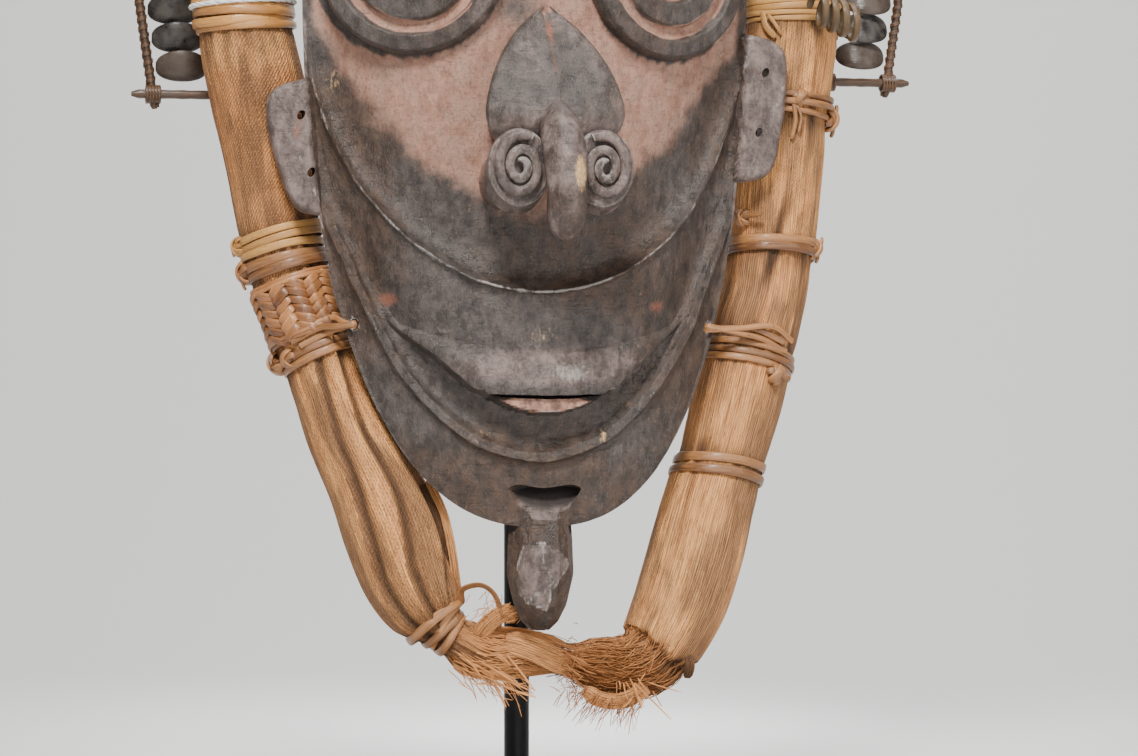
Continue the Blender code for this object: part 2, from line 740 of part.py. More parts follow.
def roll_section(route, t, extra=0.0, sides=ROLL_SIDES):
    centre, radius, across, back = roll_frame(route, t)
    return ring(centre, across, back, radius + extra, radius + extra, sides, 0.5)


def roll_length(route, steps=400):
    """Running length of a roll at each of the steps."""
    lengths = [0.0]
    last = through(route, 0)
    for i in range(1, steps + 1):
        here = through(route, i / steps)
        lengths.append(lengths[-1] + math.dist(last[:3], here[:3]))
        last = here
    return lengths


def along_roll(route, z, shift=0.0):
    """Value of t at height z on a roll's upright part, moved along by shift millimetres."""
    lengths = roll_length(route)
    steps = len(lengths) - 1
    heights = [through(route, i / steps)[2] for i in range(steps + 1)]
    start = next(i for i in range(steps) if heights[i] <= z < heights[i + 1])
    return bisect.bisect_left(lengths, lengths[start] + shift) / steps


def band_places(route, z, width):
    """Values of t at a tie's two edges."""
    return [along_roll(route, z, width * share) for share in (-0.5, 0.5)]


def build_roll(name, route, bands, parts):
    """Roll with a section at each tie's edges, so that the tie follows its faces."""
    lengths = roll_length(route)
    steps = max(4, round(lengths[-1] / ROLL_STEP))
    last = len(lengths) - 1
    regular = [bisect.bisect_left(lengths, lengths[-1] * i / steps) / last for i in range(steps + 1)]
    held = sorted(t for places in bands for t in places)
    close = 0.6 / steps
    inside = [
        t for t in regular
        if all(abs(t - h) > close for h in held) and not any(p[0] < t < p[-1] for p in bands)
    ]
    sections = [roll_section(route, min(1.0, t)) for t in sorted(inside + held)]
    points, faces = loft(sections)
    return outward(mesh_object(name, points, faces, parts, "spathe"))


def band(name, route, places, thickness, slot, parts):
    """Closed collar about a roll, a small gap off its faces."""
    inner = [roll_section(route, t, GAP) for t in places]
    low, high = places
    outer = [
        roll_section(route, low + (high - low) * along, GAP + thickness * share)
        for along, share in ((0.95, 0.5), (0.5, 1.0), (0.05, 0.5))
    ]
    points, faces = closed_loft(inner + outer)
    return outward(mesh_object(name, points, faces, parts, slot))


def strap(target, start, end, half_height, half_thickness, guides):
    """Joins a flat strap from a tie to just short of the hole it runs to."""
    along = (Vector(end) - Vector(start)).normalized()
    up = Vector((0, 0, 1))
    back = along.cross(up).normalized()
    sections = []
    for point, share in ((start, 1.0), (end, 0.45)):
        sections.append([
            tuple(Vector(point) + up * (half_height * share * a) + back * (half_thickness * b))
            for a, b in ((-1, -1), (1, -1), (1, 1), (-1, 1))
        ])
    points, faces = loft(sections)
    other = outward(mesh_object("strap", points, faces, guides))
    combine(target, other, "UNION")


def tube(name, points, radius, home, slot=None, closed=False, sides_level=2):
    """Curve object along points in millimetres, with filled caps."""
    curve = bpy.data.curves.new(name, "CURVE")
    curve.dimensions = "3D"
    spline = curve.splines.new("POLY")
    spline.points.add(len(points) - 1)
    for target, point in zip(spline.points, points):
        target.co = (*place(*point), 1.0)
    spline.use_cyclic_u = closed
    curve.bevel_depth = radius * MM
    curve.bevel_resolution = sides_level
    curve.use_fill_caps = True
    made = bpy.data.objects.new(name, curve)
    home.objects.link(made)
    finish(made, slot)
    return made


def as_mesh(thing, home, slot=None):
    """Mesh object in place of a curve object, with its caps welded on."""
    bpy.context.view_layer.update()
    shaped = thing.evaluated_get(bpy.context.evaluated_depsgraph_get())
    mesh = bpy.data.meshes.new_from_object(shaped)
    mesh.materials.clear()
    name = thing.name
    made = bpy.data.objects.new(name, mesh)
    made.matrix_world = thing.matrix_world
    bpy.data.objects.remove(thing)
    made.name = name
    home.objects.link(made)
    weld(mesh)
    finish(made, slot)
    return outward(made)


def weld(mesh):
    work = bmesh.new()
    work.from_mesh(mesh)
    bmesh.ops.remove_doubles(work, verts=work.verts, dist=0.00001)
    work.to_mesh(mesh)
    work.free()


def build_rolls(parts, guides):
    routes = {"left": ROLL_LEFT, "right": ROLL_RIGHT}
    places = {name: band_places(routes[roll], z, width) for name, roll, z, width, _, _ in TIES}
    for roll, route in routes.items():
        bands = [places[tie[0]] for tie in TIES if tie[1] == roll]
        build_roll("roll_" + roll, route, bands, parts)
    made = {}
    for name, roll, _, _, thickness, slot in TIES:
        made[name] = band(name, routes[roll], places[name], thickness, slot, parts)
    for name, roll, (x, z) in STRAPS:
        centre, radius, _, _ = roll_frame(routes[roll], places[name][1])
        start = centre - Vector((0, radius + STRAP_START_GAP, 0))
        end = (x, face_depth(x, z) - STRAP_END_GAP, z)
        strap(made[name], tuple(start), end, STRAP_HALF_HEIGHT, STRAP_HALF_THICKNESS, guides)


def ruff_point(s, offset=0.0, back=0.0):
    """Point of the ruff at share s of its length, moved outwards by offset."""
    arc = math.pi * math.sqrt((RUFF_HALF_WIDTH ** 2 + RUFF_HEIGHT ** 2) / 2)
    run = s * (RUFF_DROP_LEFT + arc + RUFF_DROP_RIGHT)
    if run < RUFF_DROP_LEFT:
        drop = RUFF_DROP_LEFT - run
        return (RUFF_X - RUFF_HALF_WIDTH - offset + RUFF_DROP_LEAN * drop, RUFF_DEPTH + back, RUFF_Z - drop)
    run -= RUFF_DROP_LEFT
    if run > arc:
        drop = run - arc
        return (RUFF_X + RUFF_HALF_WIDTH + offset - RUFF_DROP_LEAN * drop, RUFF_DEPTH + back, RUFF_Z - drop)
    a = math.pi * (1 - run / arc)
    return (
        RUFF_X + (RUFF_HALF_WIDTH + offset) * math.cos(a),
        RUFF_DEPTH + back,
        RUFF_Z + (RUFF_HEIGHT + offset) * math.sin(a),
    )


def build_ruff(parts, guides):
    """Two cane hoops, the sticks that cross them and the shells between them."""
    steps = 24
    hoops = []
    for offset in (-HOOP_OFFSET, HOOP_OFFSET):
        points = [ruff_point(i / steps, offset) for i in range(steps + 1)]
        hoops.append(tube("hoop", points, HOOP_RADIUS, guides, sides_level=0))
    frame = as_mesh(hoops[0], parts, "cane")
    frame.name = "shell_frame"
    others = [as_mesh(hoops[1], guides)]
    group = SHELLS_PER_STICK + 1
    places = SHELL_COUNT // SHELLS_PER_STICK * group + 1
    shell_number = 0
    for i in range(places):
        s = (i + 0.5) / places
        if i % group == 0:
            others.append(stick(s, guides))
        else:
            shell_number += 1
            shell("shell_%02d" % shell_number, s, parts)
    for other in others:
        combine(frame, other, "UNION")


def stick(s, guides):
    """Cross stick that binds both hoops and stands out past them."""
    inner = ruff_point(s, -HOOP_OFFSET - 4)
    outer = ruff_point(s, HOOP_OFFSET + STICK_OVERHANG)
    return as_mesh(tube("stick", [inner, outer], STICK_RADIUS, guides, sides_level=0), guides)


def shell(name, s, parts):
    """Half-moon shell, bowed forward, with its length across the ruff."""
    middle = Vector(ruff_point(s))
    out = (Vector(ruff_point(s, 5)) - middle).normalized()
    front = Vector((0, -1, 0))
    side = out.cross(front)
    sections = []
    for i in range(4):
        t = i / 3 * 2 - 1
        centre = middle + out * (SHELL_LENGTH / 2 * t) + front * (SHELL_BOW * (1 - t * t) - 2)
        half = SHELL_WIDTH / 2 * math.sqrt(1.12 - t * t)
        thick = SHELL_THICKNESS / 2 * (1.1 - 0.5 * t * t)
        sections.append([
            tuple(centre + side * (half * a) + front * (thick * b))
            for a, b in ((-1, -0.3), (0, 1), (1, -0.3), (0, -1))
        ])
    points, faces = loft(sections)
    return outward(mesh_object(name, points, faces, parts, "shell"))


def crown_tie(parts):
    """Lashing that holds the two rolls together over the mask."""
    centre = Vector((0, CROWN_TIE["depth"], CROWN_TIE["z"]))
    half, inner, thick = CROWN_TIE["half_length"], CROWN_TIE["radius"], CROWN_TIE["thickness"]
    stations = ((-half, 0), (half, 0), (half * 0.95, thick / 2), (0, thick), (-half * 0.95, thick / 2))
    across, up = Vector((0, 1, 0)), Vector((0, 0, 1))
    sections = []
    for x, extra in stations:
        sections.append(ring(centre + Vector((x, 0, 0)), across, up, inner + extra, inner + extra, 12))
    points, faces = closed_loft(sections)
    return outward(mesh_object("tie_crown", points, faces, parts, "rattan_brown"))


def build_trim(parts):
    """White string about the left roll, cane coil before the right one and the lashing at the crown."""
    crown_tie(parts)
    t = along_roll(ROLL_LEFT, STRING_Z)
    centre, radius, across, back = roll_frame(ROLL_LEFT, t)
    reach = radius + STRING_RADIUS + STRING_GAP
    loop = ring(centre, across, back, reach, reach, 14)
    as_mesh(tube("white_string", loop, STRING_RADIUS, parts, closed=True, sides_level=0), parts, "cotton")
    coil = COIL_RING
    points = []
    for i in range(coil["sides"] * coil["turns"] + 1):
        turn = i / coil["sides"]
        run = coil["pitch"] * (turn - coil["turns"] / 2)
        a = 2 * math.pi * turn
        points.append((
            coil["x"] + run,
            coil["depth"] + coil["radius"] * math.cos(a),
            coil["z"] + coil["radius"] * math.sin(a) + coil["tilt"] * run,
        ))
    as_mesh(tube("cane_coil", points, COIL_RING["cord"], parts, sides_level=0), parts, "cane")


def build_stand(parts):
    bpy.ops.mesh.primitive_cube_add(size=1)
    base = adopt(bpy.context.object, "stand_base", parts, "black_steel")
    base.data.transform(Matrix.Diagonal((BASE_WIDTH * MM, BASE_LENGTH * MM, BASE_THICKNESS * MM, 1)))
    base.location.z = BASE_THICKNESS * MM / 2
    soft = base.modifiers.new("edge", "BEVEL")
    soft.width = BASE_BEVEL * MM
    soft.segments = 1
    points = [(0, ROD_DEPTH, BASE_THICKNESS + GAP), (0, ROD_DEPTH, ROD_TOP_Z - ROD_BEND_RADIUS)]
    for i in range(1, 7):
        a = math.pi / 2 * i / 6
        points.append((
            0,
            ROD_DEPTH - ROD_BEND_RADIUS * (1 - math.cos(a)),
            ROD_TOP_Z - ROD_BEND_RADIUS * (1 - math.sin(a)),
        ))
    points.append((0, ROD_TIP_DEPTH, ROD_TOP_Z))
    as_mesh(tube("stand_rod", points, ROD_RADIUS, parts, sides_level=3), parts, "black_steel")


def main():
    for thing in list(bpy.data.objects):
        bpy.data.objects.remove(thing)
    parts = collection("sepik_mask")
    guides = collection("cutters_and_guides")
    build_mask(parts, guides)
    build_rolls(parts, guides)
    build_trim(parts)
    build_ruff(parts, guides)
    build_stand(parts)


main()
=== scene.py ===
"""Dressed model of a carved spirit mask with two fibre rolls and a shell ruff, on a display rod.

Blender 4.5, +Z up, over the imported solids. The mask looks along -Y. The driving dimensions are in
millimetres, and become metres when a mesh is made. Depth is measured back from the face plane, the
upright plane that touches the rim of the cheeks on the centreline.
"""

import math

import bpy
import numpy as np
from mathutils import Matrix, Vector

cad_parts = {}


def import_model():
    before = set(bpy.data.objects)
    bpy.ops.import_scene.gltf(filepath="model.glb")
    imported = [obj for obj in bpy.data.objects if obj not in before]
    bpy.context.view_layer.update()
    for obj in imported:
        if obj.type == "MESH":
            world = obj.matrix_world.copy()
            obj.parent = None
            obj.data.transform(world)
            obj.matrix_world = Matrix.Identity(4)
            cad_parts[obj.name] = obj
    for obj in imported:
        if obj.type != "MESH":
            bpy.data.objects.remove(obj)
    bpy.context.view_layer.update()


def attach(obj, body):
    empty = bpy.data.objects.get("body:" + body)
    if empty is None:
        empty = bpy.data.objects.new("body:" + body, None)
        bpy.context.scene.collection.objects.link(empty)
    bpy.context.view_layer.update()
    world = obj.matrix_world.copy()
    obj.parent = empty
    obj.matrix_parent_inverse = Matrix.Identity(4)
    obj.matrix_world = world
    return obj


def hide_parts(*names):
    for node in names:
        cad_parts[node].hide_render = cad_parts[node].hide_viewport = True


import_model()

MM = 0.001
FACE_PLANE_Y = -44.0

# Mask outline and depths
CHIN_Z = 155.0
WIDEST_Z = 430.0
CROWN_Z = 550.0
HALF_WIDTH = 112.0
ROW_END_X = 64.0
EDGE_DEPTH_LOW = 8.0
EDGE_DEPTH_GAIN = 40.0
EDGE_DEPTH_HEIGHT = 90.0
CROSS_POWER = 2.3
CENTRE_PROFILE = (
    (155, 8), (187, 3), (222, 1), (268, -1), (345, 3), (404, 0), (470, -5), (515, 5), (550, 40),
)
RIM_THICKNESS = 14.0
RIM_WIDTH = 12.0
WALL = 19.0
BACK_DEPTH = 85.0
SIDE_TAPER = 0.84

# Crescent rims: an ellipse that runs on straight, and the relief about its edge
CHIN_RIM = {"low": 187.0, "rise": 185.0, "half": 105.0, "straight": 84.0, "end": 97.0, "lean": 0.05,
            "scoop": 10.0, "reach": 16.0, "step": 4.0, "fade": 26.0, "band": 4.2, "bevel": 1.1}
CHEEK_RIM = {"low": 268.0, "rise": 145.0, "half": 112.0, "straight": 106.0, "end": 110.0, "lean": 0.02,
             "scoop": 12.0, "reach": 46.0, "step": 3.5, "fade": 22.0, "band": 1.0, "bevel": 0.2}

# Muzzle and mouth
MOUTH_LINE = ((0, 218.3), (20, 218.6), (33, 220), (42, 227), (52, 236), (74, 255), (92, 285), (107, 335))
MOUTH_HALF_WIDTH = 31.0
MUZZLE_TOP_Z = 240.0
MUZZLE_TOP_RISE = 16.0
MUZZLE_HALF_WIDTH = 74.0
MUZZLE_HEIGHT = 9.0
LIP_SETBACK = 2.5
LIP_LOW_Z = 209.3
LIP_BOW = 10.3
LIP_SLANT = 3.4
BROW_Z = 470.0
BROW_RISE = -8.0

# Eyes
EYE_X = 63.0
EYE_Z = 429.0
EYE_LEAN = 23.0
EYE_PROFILE = (
    (47, -2), (45.5, 3), (38, 4.5), (36, 0.5), (31.5, 0.5), (30.5, 4.5), (20, 5.5), (18, 1), (9, 5), (0, 5.5),
)
PUPIL_RADIUS = 7.0

# Nose bulb: height, half width, depth of the crest, depth of the rim
NOSE_STATIONS = (
    (405.0, 2.0, -0.5, 0.5),
    (399.0, 9.5, -4.0, -2.0),
    (392.0, 16.5, -9.0, -6.0),
    (382.0, 23.5, -16.0, -12.0),
    (371.0, 29.0, -23.0, -18.0),
    (360.0, 32.5, -28.0, -22.0),
    (351.0, 33.5, -31.0, -23.0),
    (343.0, 30.5, -30.0, -20.0),
    (337.0, 24.0, -24.0, -14.0),
)
NOSE_ROOT_DEPTH = 12.0
# Beak: depth, height, half width, half thickness
BEAK_STATIONS = (
    (-12.0, 353.0, 9.0, 9.0),
    (-33.0, 344.0, 10.0, 10.0),
    (-45.0, 331.0, 10.2, 10.5),
    (-49.0, 316.0, 9.6, 9.5),
    (-48.0, 303.0, 9.2, 8.0),
    (-45.5, 295.0, 6.8, 6.0),
    (-44.5, 292.0, 3.0, 3.0),
)
VOLUTE_X = 20.0
VOLUTE_Z = 325.5
VOLUTE_DEPTH = -38.0
VOLUTE_HALF_WIDTH = 15.0
VOLUTE_HALF_HEIGHT = 18.5
COIL_TURNS = 2.15
COIL_CORD_RADIUS = 2.7
COIL_START_DEGREES = 62.0

# Ear tabs: side of the face, two holes and the outline, by distance from the centreline and height
EARS = (
    {"side": -1, "holes": ((113.0, 354.7), (108.0, 327.0)),
     "outline": ((103.1, 373.6), (113.4, 372.0), (124.0, 368.5), (129.2, 360.5), (127.6, 345.0),
                 (123.2, 329.0),
                 (118.6, 315.5), (114.0, 309.0), (107.0, 306.6), (98.2, 306.6))},
    {"side": 1, "holes": ((120.8, 380.0), (117.2, 350.0)),
     "outline": ((110.2, 399.4), (122.2, 397.4), (130.4, 392.8), (133.2, 384.0), (132.2, 367.0),
                 (129.6, 349.0),
                 (126.6, 335.5), (122.2, 328.8), (115.0, 326.0), (105.0, 325.2))},
)
EAR_DEPTH = 40.0
EAR_THICKNESS = 9.5
EAR_ROOT_X = 92.0
EAR_SLOPE = 0.12
EAR_HOLE_RADIUS = 2.2
EDGE_HOLES = ((-88.0, 253.0), (89.0, 252.0))

# Slot and lug below the chin
SLOT_X = 2.0
SLOT_Z = 171.5
SLOT_HALF_WIDTH = 17.0
# Lug: height, half width, depth of its front and of its back
LUG_STATIONS = (
    (168.0, 14.0, 10.0, 20.0),
    (158.0, 15.4, 6.5, 24.0),
    (147.0, 16.0, 3.6, 25.0),
    (132.0, 16.6, 4.0, 25.0),
    (117.0, 13.0, 5.4, 23.0),
    (109.0, 9.0, 9.5, 20.0),
    (104.8, 4.5, 12.5, 17.0),
)
# The large facet on the lug, and the crack that runs down it
LUG_FACET = (
    (-9.8, 146.7), (0.0, 147.7), (7.4, 143.3), (12.7, 138.0), (8.3, 129.8), (3.9, 125.0), (1.5, 114.4),
    (-7.4, 118.3), (-12.7, 125.0), (-11.3, 139.5), (-9.8, 146.7),
)
LUG_CRACK = (
    (0.0, 147.7), (-1.0, 141.9), (0.5, 135.7), (3.4, 132.3), (3.9, 128.4), (0.5, 124.1), (-4.4, 122.7),
    (-8.3, 118.8),
)

# Fibre rolls: x, depth, z, radius, from the torn lower tip to the crown
ROLL_LEFT = (
    (18, 38, 88, 6), (6, 37, 91, 9), (-8, 36, 92, 11), (-25, 35, 93, 12), (-42.5, 36, 103.5, 10.5),
    (-51, 38, 114, 19), (-59, 42, 130, 23), (-67, 45, 153, 24.6), (-77, 49, 177, 22), (-88.5, 53, 201, 19.5),
    (-97.5, 61, 227, 18), (-108.2, 68, 258, 19.3), (-115.2, 72, 280, 19.6), (-120.2, 75, 302, 20.5),
    (-124.2, 78, 334, 22.2), (-129.7, 79, 366, 23.8), (-136.2, 79, 398, 23.4), (-137.5, 79, 430, 23),
    (-130, 79, 470, 22), (-104, 79, 515, 21), (-62, 79, 551, 19), (-22, 79, 566, 15), (-3, 79, 569, 11),
)
ROLL_RIGHT = (
    (20, 36, 88, 6), (30, 36, 86, 11), (46, 37, 84, 14), (60, 39, 88, 17), (68, 41, 97, 19.5),
    (77.5, 43, 116, 21.5), (86.5, 46, 141, 22), (94, 49, 166, 20.8), (102.5, 53, 191, 19.8),
    (110.6, 57, 217, 20.8), (119, 62, 246, 20.8), (127, 68, 270, 20), (131.6, 72, 294, 20.6),
    (134.4, 75, 322, 21.6), (139, 78, 366, 22.2), (144, 79, 412, 23.6), (143.6, 79, 440, 23),
    (133, 79, 478, 22), (106, 79, 520, 21), (62, 79, 553, 19), (22, 79, 567, 15), (3, 79, 569, 11),
)
# Points round a roll, spacing of its rings, and the radius at which the skin's grain is laid out
ROLL_SIDES = 144
ROLL_PITCH = 2.0
SKIN_RADIUS = 21
# Heights at which ties pinch each roll
PINCHES_LEFT = (401, 296, 282, 260, 236, 104)
PINCHES_RIGHT = (407, 358, 288, 241, 183)
# Braid of the sleeve: leaves round the roll, and their spacing along it
SLEEVE_COLUMNS = 14
SLEEVE_PITCH = 4.7
# Angle round the right roll, and the length along it at which its outer sheath ends
SHEATH_CUT = ((-168, 34), (-149, 45), (-95, 44), (-63, 46), (-10, 52), (90, 46), (150, 38))
# Height on a roll, and how far its fibres cross like a net there
NET_LEFT = ((88, 0.6), (200, 0.5), (300, 1.0), (570, 1.0))
NET_RIGHT = ((88, 0.0), (270, 0.1), (320, 0.3), (570, 0.3))
# Height on a roll, and how pale its skin is there
TONE_LEFT = (
    (88, 0.4), (130, 0.65), (200, 0.6), (290, 0.55), (318, 0.3), (372, 0.25), (384, 0.9), (400,
                                                                                           0.9), (430, 0.5),
)
TONE_RIGHT = (
    (88, 0.5), (120, 0.6), (180, 0.55), (236, 0.4), (250, 0.1), (272, 0.1), (296, 0.5), (350, 0.6), (405,
                                                                                                     0.7),
    (430, 0.5),
)
# Long folds of the spathe: start and end height on the roll in mm of its length, angle at each end in
# degrees (-90 faces the front), height of the step and how far it runs out round the roll
FOLDS_LEFT = (
    (62, 215, -140, -104, 2.4, 34),
    (58, 236, -104, -66, 3.0, 40),
    (74, 226, -62, -34, 3.2, 46),
    (205, 330, -60, -75, 0.7, 40),
    (330, 440, -118, -100, 0.6, 40),
    (150, 520, 60, 90, 1.2, 60),
)
FOLDS_RIGHT = (
    (96, 232, -140, -150, 0.8, 40),
    (180, 262, -48, -60, 0.7, 50),
    (232, 292, -120, -88, 1.5, 40),
    (292, 420, -70, -82, 0.7, 40),
    (60, 470, 70, 95, 1.2, 60),
)

CROWN_TIE = {"half_length": 15.0, "radius": 17.0, "turns": 8, "depth": 79.0, "z": 567.5}
COIL_RING = {"x": 156.0, "depth": 37.0, "z": 406.0, "radius": 10.0, "turns": 4, "pitch": 5.4, "tilt": -0.4}
STRING_Z = 412.0

# Shell ruff behind the rolls
RUFF_X = 12.0
RUFF_DEPTH = 107.0
RUFF_Z = 427.0
RUFF_HALF_WIDTH = 183.0
RUFF_HEIGHT = 161.0
RUFF_DROP_LEFT = 65.0
RUFF_DROP_RIGHT = 52.0
RUFF_DROP_LEAN = 0.14
HOOP_OFFSET = 16.5
HOOP_RADIUS = 2.6
HOOP_WRAPS = 150
WRAP_STEPS = 5200
WRAP_PART = 1300
STICK_RADIUS = 2.5
STICK_OVERHANG = 11.0
SHELL_COUNT = 36
SHELLS_PER_STICK = 4
SHELL_LENGTH = 26.0
SHELL_WIDTH = 11.0
SHELL_BOW = 5.0
SHELL_TILT = 0.34

# Display stand
ROD_RADIUS = 6.35
ROD_DEPTH = 74.0
ROD_TOP_Z = 478.0
ROD_BEND_RADIUS = 20.0
ROD_TIP_DEPTH = 20.0
BASE_WIDTH = 190.0
BASE_LENGTH = 176.0
BASE_THICKNESS = 10.0

# Camera and set
PHOTO_WIDTH = 1138
PHOTO_HEIGHT = 756
MM_PER_PIXEL = 0.48
CAMERA_DISTANCE = 1500.0
CAMERA_TURN = -12.0
CAMERA_AIM_RIGHT = 11.0
CAMERA_Z = 227.0
SENSOR = 36.0

# Set in metres: floor, the quarter round that it curves up through, and the wall
SET_HALF_WIDTH = 4.0
FLOOR_START = -2.6
FLOOR_END = 0.85
CURVE_RADIUS = 0.9
CURVE_STEPS = 24
WALL_TOP = 3.2

# Lamps in metres and watts: name, place, aim, size, power and colour
WARM = (1.0, 0.985, 0.95)
PALE_WARM = (1.0, 0.985, 0.96)
WHITE = (1.0, 1.0, 1.0)
LAMPS = (
    ("key", (-0.45, -1.25, 1.75), (0.0, 0.0, 0.28), 0.5, 69, WARM),
    ("fill", (1.2, -1.2, 1.0), (0.0, 0.0, 0.25), 0.9, 13, PALE_WARM),
    ("low", (0.1, -1.5, 0.25), (0.0, 0.0, 0.30), 1.2, 10, WHITE),
    ("back", (0.2, 0.3, 2.1), (0.6, 1.6, 0.5), 1.3, 38, WHITE),
    ("sweep", (0.12, 0.46, 0.28), (0.12, 0.46, 0.0), 0.2, 1.9, WHITE),
)
SKY_COLOUR = (0.86, 0.88, 0.90, 1.0)
SKY_STRENGTH = 0.21

# Coordinates that one band of the wave texture takes up
WAVE_PERIOD = 0.314


def smooth(stations, x):
    """Values at x of a smooth curve through (x, value) stations that never overshoots them."""
    xs, ys = np.array(stations, float).T
    slopes = np.diff(ys) / np.diff(xs)
    tangents = np.concatenate([slopes[:1], np.zeros(len(xs) - 2), slopes[-1:]])
    both = slopes[:-1] * slopes[1:]
    total = slopes[:-1] + slopes[1:]
    tangents[1:-1] = np.where(both > 0, 2 * both / np.where(both > 0, total, 1), 0)
    x = np.clip(np.asarray(x, float), xs[0], xs[-1])
    i = np.clip(np.searchsorted(xs, x, side="right") - 1, 0, len(xs) - 2)
    h = xs[i + 1] - xs[i]
    t = (x - xs[i]) / h
    return (
        (1 + 2 * t) * (1 - t) ** 2 * ys[i]
        + t * (1 - t) ** 2 * h * tangents[i]
        + t * t * (3 - 2 * t) * ys[i + 1]
        - t * t * (1 - t) * h * tangents[i + 1]
    )


def through(points, t):
    """Points at t, from 0 to 1, on a Catmull-Rom curve through points of any dimension."""
    p = np.asarray(points, float)
    p = np.concatenate([[2 * p[0] - p[1]], p, [2 * p[-1] - p[-2]]])
    spans = len(p) - 3
    place = np.clip(np.asarray(t, float), 0, 1) * spans
    i = np.minimum(place.astype(int), spans - 1)
    f = (place - i)[:, None]
    a, b, c, d = (p[i + n] for n in range(4))
    return 0.5 * (2 * b + (c - a) * f + (2 * a - 5 * b + 4 * c - d) * f * f + (3 * b - a - 3 * c + d) * f ** 3)


def rise(low, high, x):
    """0 below low, 1 above high and smooth between."""
    t = np.clip((x - low) / (high - low), 0, 1)
    return t * t * (3 - 2 * t)


def hashed(i, j, k, seed):
    """Repeatable values from 0 to 1 at whole-number places."""
    h = (i * 374761393 + j * 668265263 + k * 1274126177 + seed * 974711) & 0xFFFFFFFF
    h = ((h ^ (h >> 13)) * 1274126177) & 0xFFFFFFFF
    return ((h ^ (h >> 16)) & 0xFFFFFF) / 0xFFFFFF


def noise(x, y, z, size, seed=0):
    """Smooth noise from -1 to 1 with features of about the size given, one number or one per axis."""
    sizes = size if isinstance(size, tuple) else (size,) * 3
    p = np.broadcast_arrays(*(np.asarray(a, float) / s for a, s in zip((x, y, z), sizes)))
    cell = [np.floor(a).astype(np.int64) for a in p]
    f = [a - c for a, c in zip(p, cell)]
    f = [a * a * (3 - 2 * a) for a in f]
    total = 0.0
    for dx in (0, 1):
        for dy in (0, 1):
            for dz in (0, 1):
                weight = (f[0] if dx else 1 - f[0]) * (f[1] if dy else 1 - f[1]) * (f[2] if dz else 1 - f[2])
                total = total + weight * hashed(cell[0] + dx, cell[1] + dy, cell[2] + dz, seed)
    return 2 * total - 1


def layers(x, y, z, size, seed=0, octaves=3):
    """Several sizes of noise, each half as strong as the one before."""
    total = 0.0
    for n in range(octaves):
        finer = tuple(s / 2 ** n for s in size) if isinstance(size, tuple) else size / 2 ** n
        total = total + noise(x, y, z, finer, seed + 17 * n) / 2 ** n
    return total


def scallops(a, b, size, seed=0):
    """Distance to the nearest of scattered places, 0 to about 1, and a value for each place."""
    ca, cb = np.floor(a / size).astype(np.int64), np.floor(b / size).astype(np.int64)
    best = np.full(np.shape(a), 9.0)
    value = np.zeros(np.shape(a))
    for da in (-1, 0, 1):
        for db in (-1, 0, 1):
            i, k = ca + da, cb + db
            pa, pb = i + hashed(i, 0 * i, k, seed), k + hashed(i, 0 * i + 1, k, seed)
            distance = np.hypot(a / size - pa, b / size - pb)
            value = np.where(distance < best, hashed(i, 0 * i + 2, k, seed), value)
            best = np.minimum(best, distance)
    return best, value


def near(x, z, x0, z0, rx, rz):
    """1 at a place on the face, fading to 0 around it."""
    return np.exp(-(((x - x0) / rx) ** 2) - ((z - z0) / rz) ** 2)


def line_distance(x, z, line):
    """Distance to a line through points."""
    best = np.full(np.shape(x), 1e9)
    for (x0, z0), (x1, z1) in zip(line, line[1:]):
        across, up = x1 - x0, z1 - z0
        share = np.clip(((x - x0) * across + (z - z0) * up) / (across ** 2 + up ** 2), 0, 1)
        best = np.minimum(best, np.hypot(x - x0 - share * across, z - z0 - share * up))
    return best


def within(x, z, line):
    """1 inside a closed line and 0 outside."""
    crossings = np.zeros(np.shape(x), int)
    for (x0, z0), (x1, z1) in zip(line, line[1:]):
        if z0 != z1:
            crossings += ((z > z0) != (z > z1)) * (x < x0 + (z - z0) * (x1 - x0) / (z1 - z0))
    return crossings % 2


def unit(vectors):
    """Vectors at length one."""
    return vectors / np.maximum(np.linalg.norm(vectors, axis=-1, keepdims=True), 1e-9)


def world(points):
    """Positions in metres of points given in millimetres by x, depth and z."""
    p = np.asarray(points, float)
    return (p + np.array([0.0, FACE_PLANE_Y, 0.0])) * MM


def circle(count, start=0.0):
    """Angles of points spaced evenly round a circle."""
    return 2 * math.pi * (np.arange(count) + start) / count


# The carved face

def outline_half_width(z):
    """Half width of the mask at height z."""
    low = np.clip((z - CHIN_Z) / (WIDEST_Z - CHIN_Z), 0, 1)
    high = np.clip((z - WIDEST_Z) / (CROWN_Z - WIDEST_Z), 0, 1)
    below = (1 - (1 - low) ** 2.25) ** (1 / 2.45)
    return HALF_WIDTH * np.where(z <= WIDEST_Z, below, (1 - high ** 2.3) ** (1 / 2.2))


def chin_outline(x):
    """Height of the mask's lower edge at x."""
    return CHIN_Z + (WIDEST_Z - CHIN_Z) * (1 - (1 - (np.abs(x) / HALF_WIDTH) ** 2.45) ** (1 / 2.25))


def crown_outline(x):
    """Height of the mask's upper edge at x."""
    return WIDEST_Z + (CROWN_Z - WIDEST_Z) * (1 - (np.abs(x) / HALF_WIDTH) ** 2.2) ** (1 / 2.3)


def crescent_slope(rim, x):
    """Steepness of a crescent rim at x."""
    side = np.minimum(np.abs(x), rim["straight"]) / rim["half"]
    return rim["rise"] / rim["half"] * side / np.sqrt(1 - side * side)


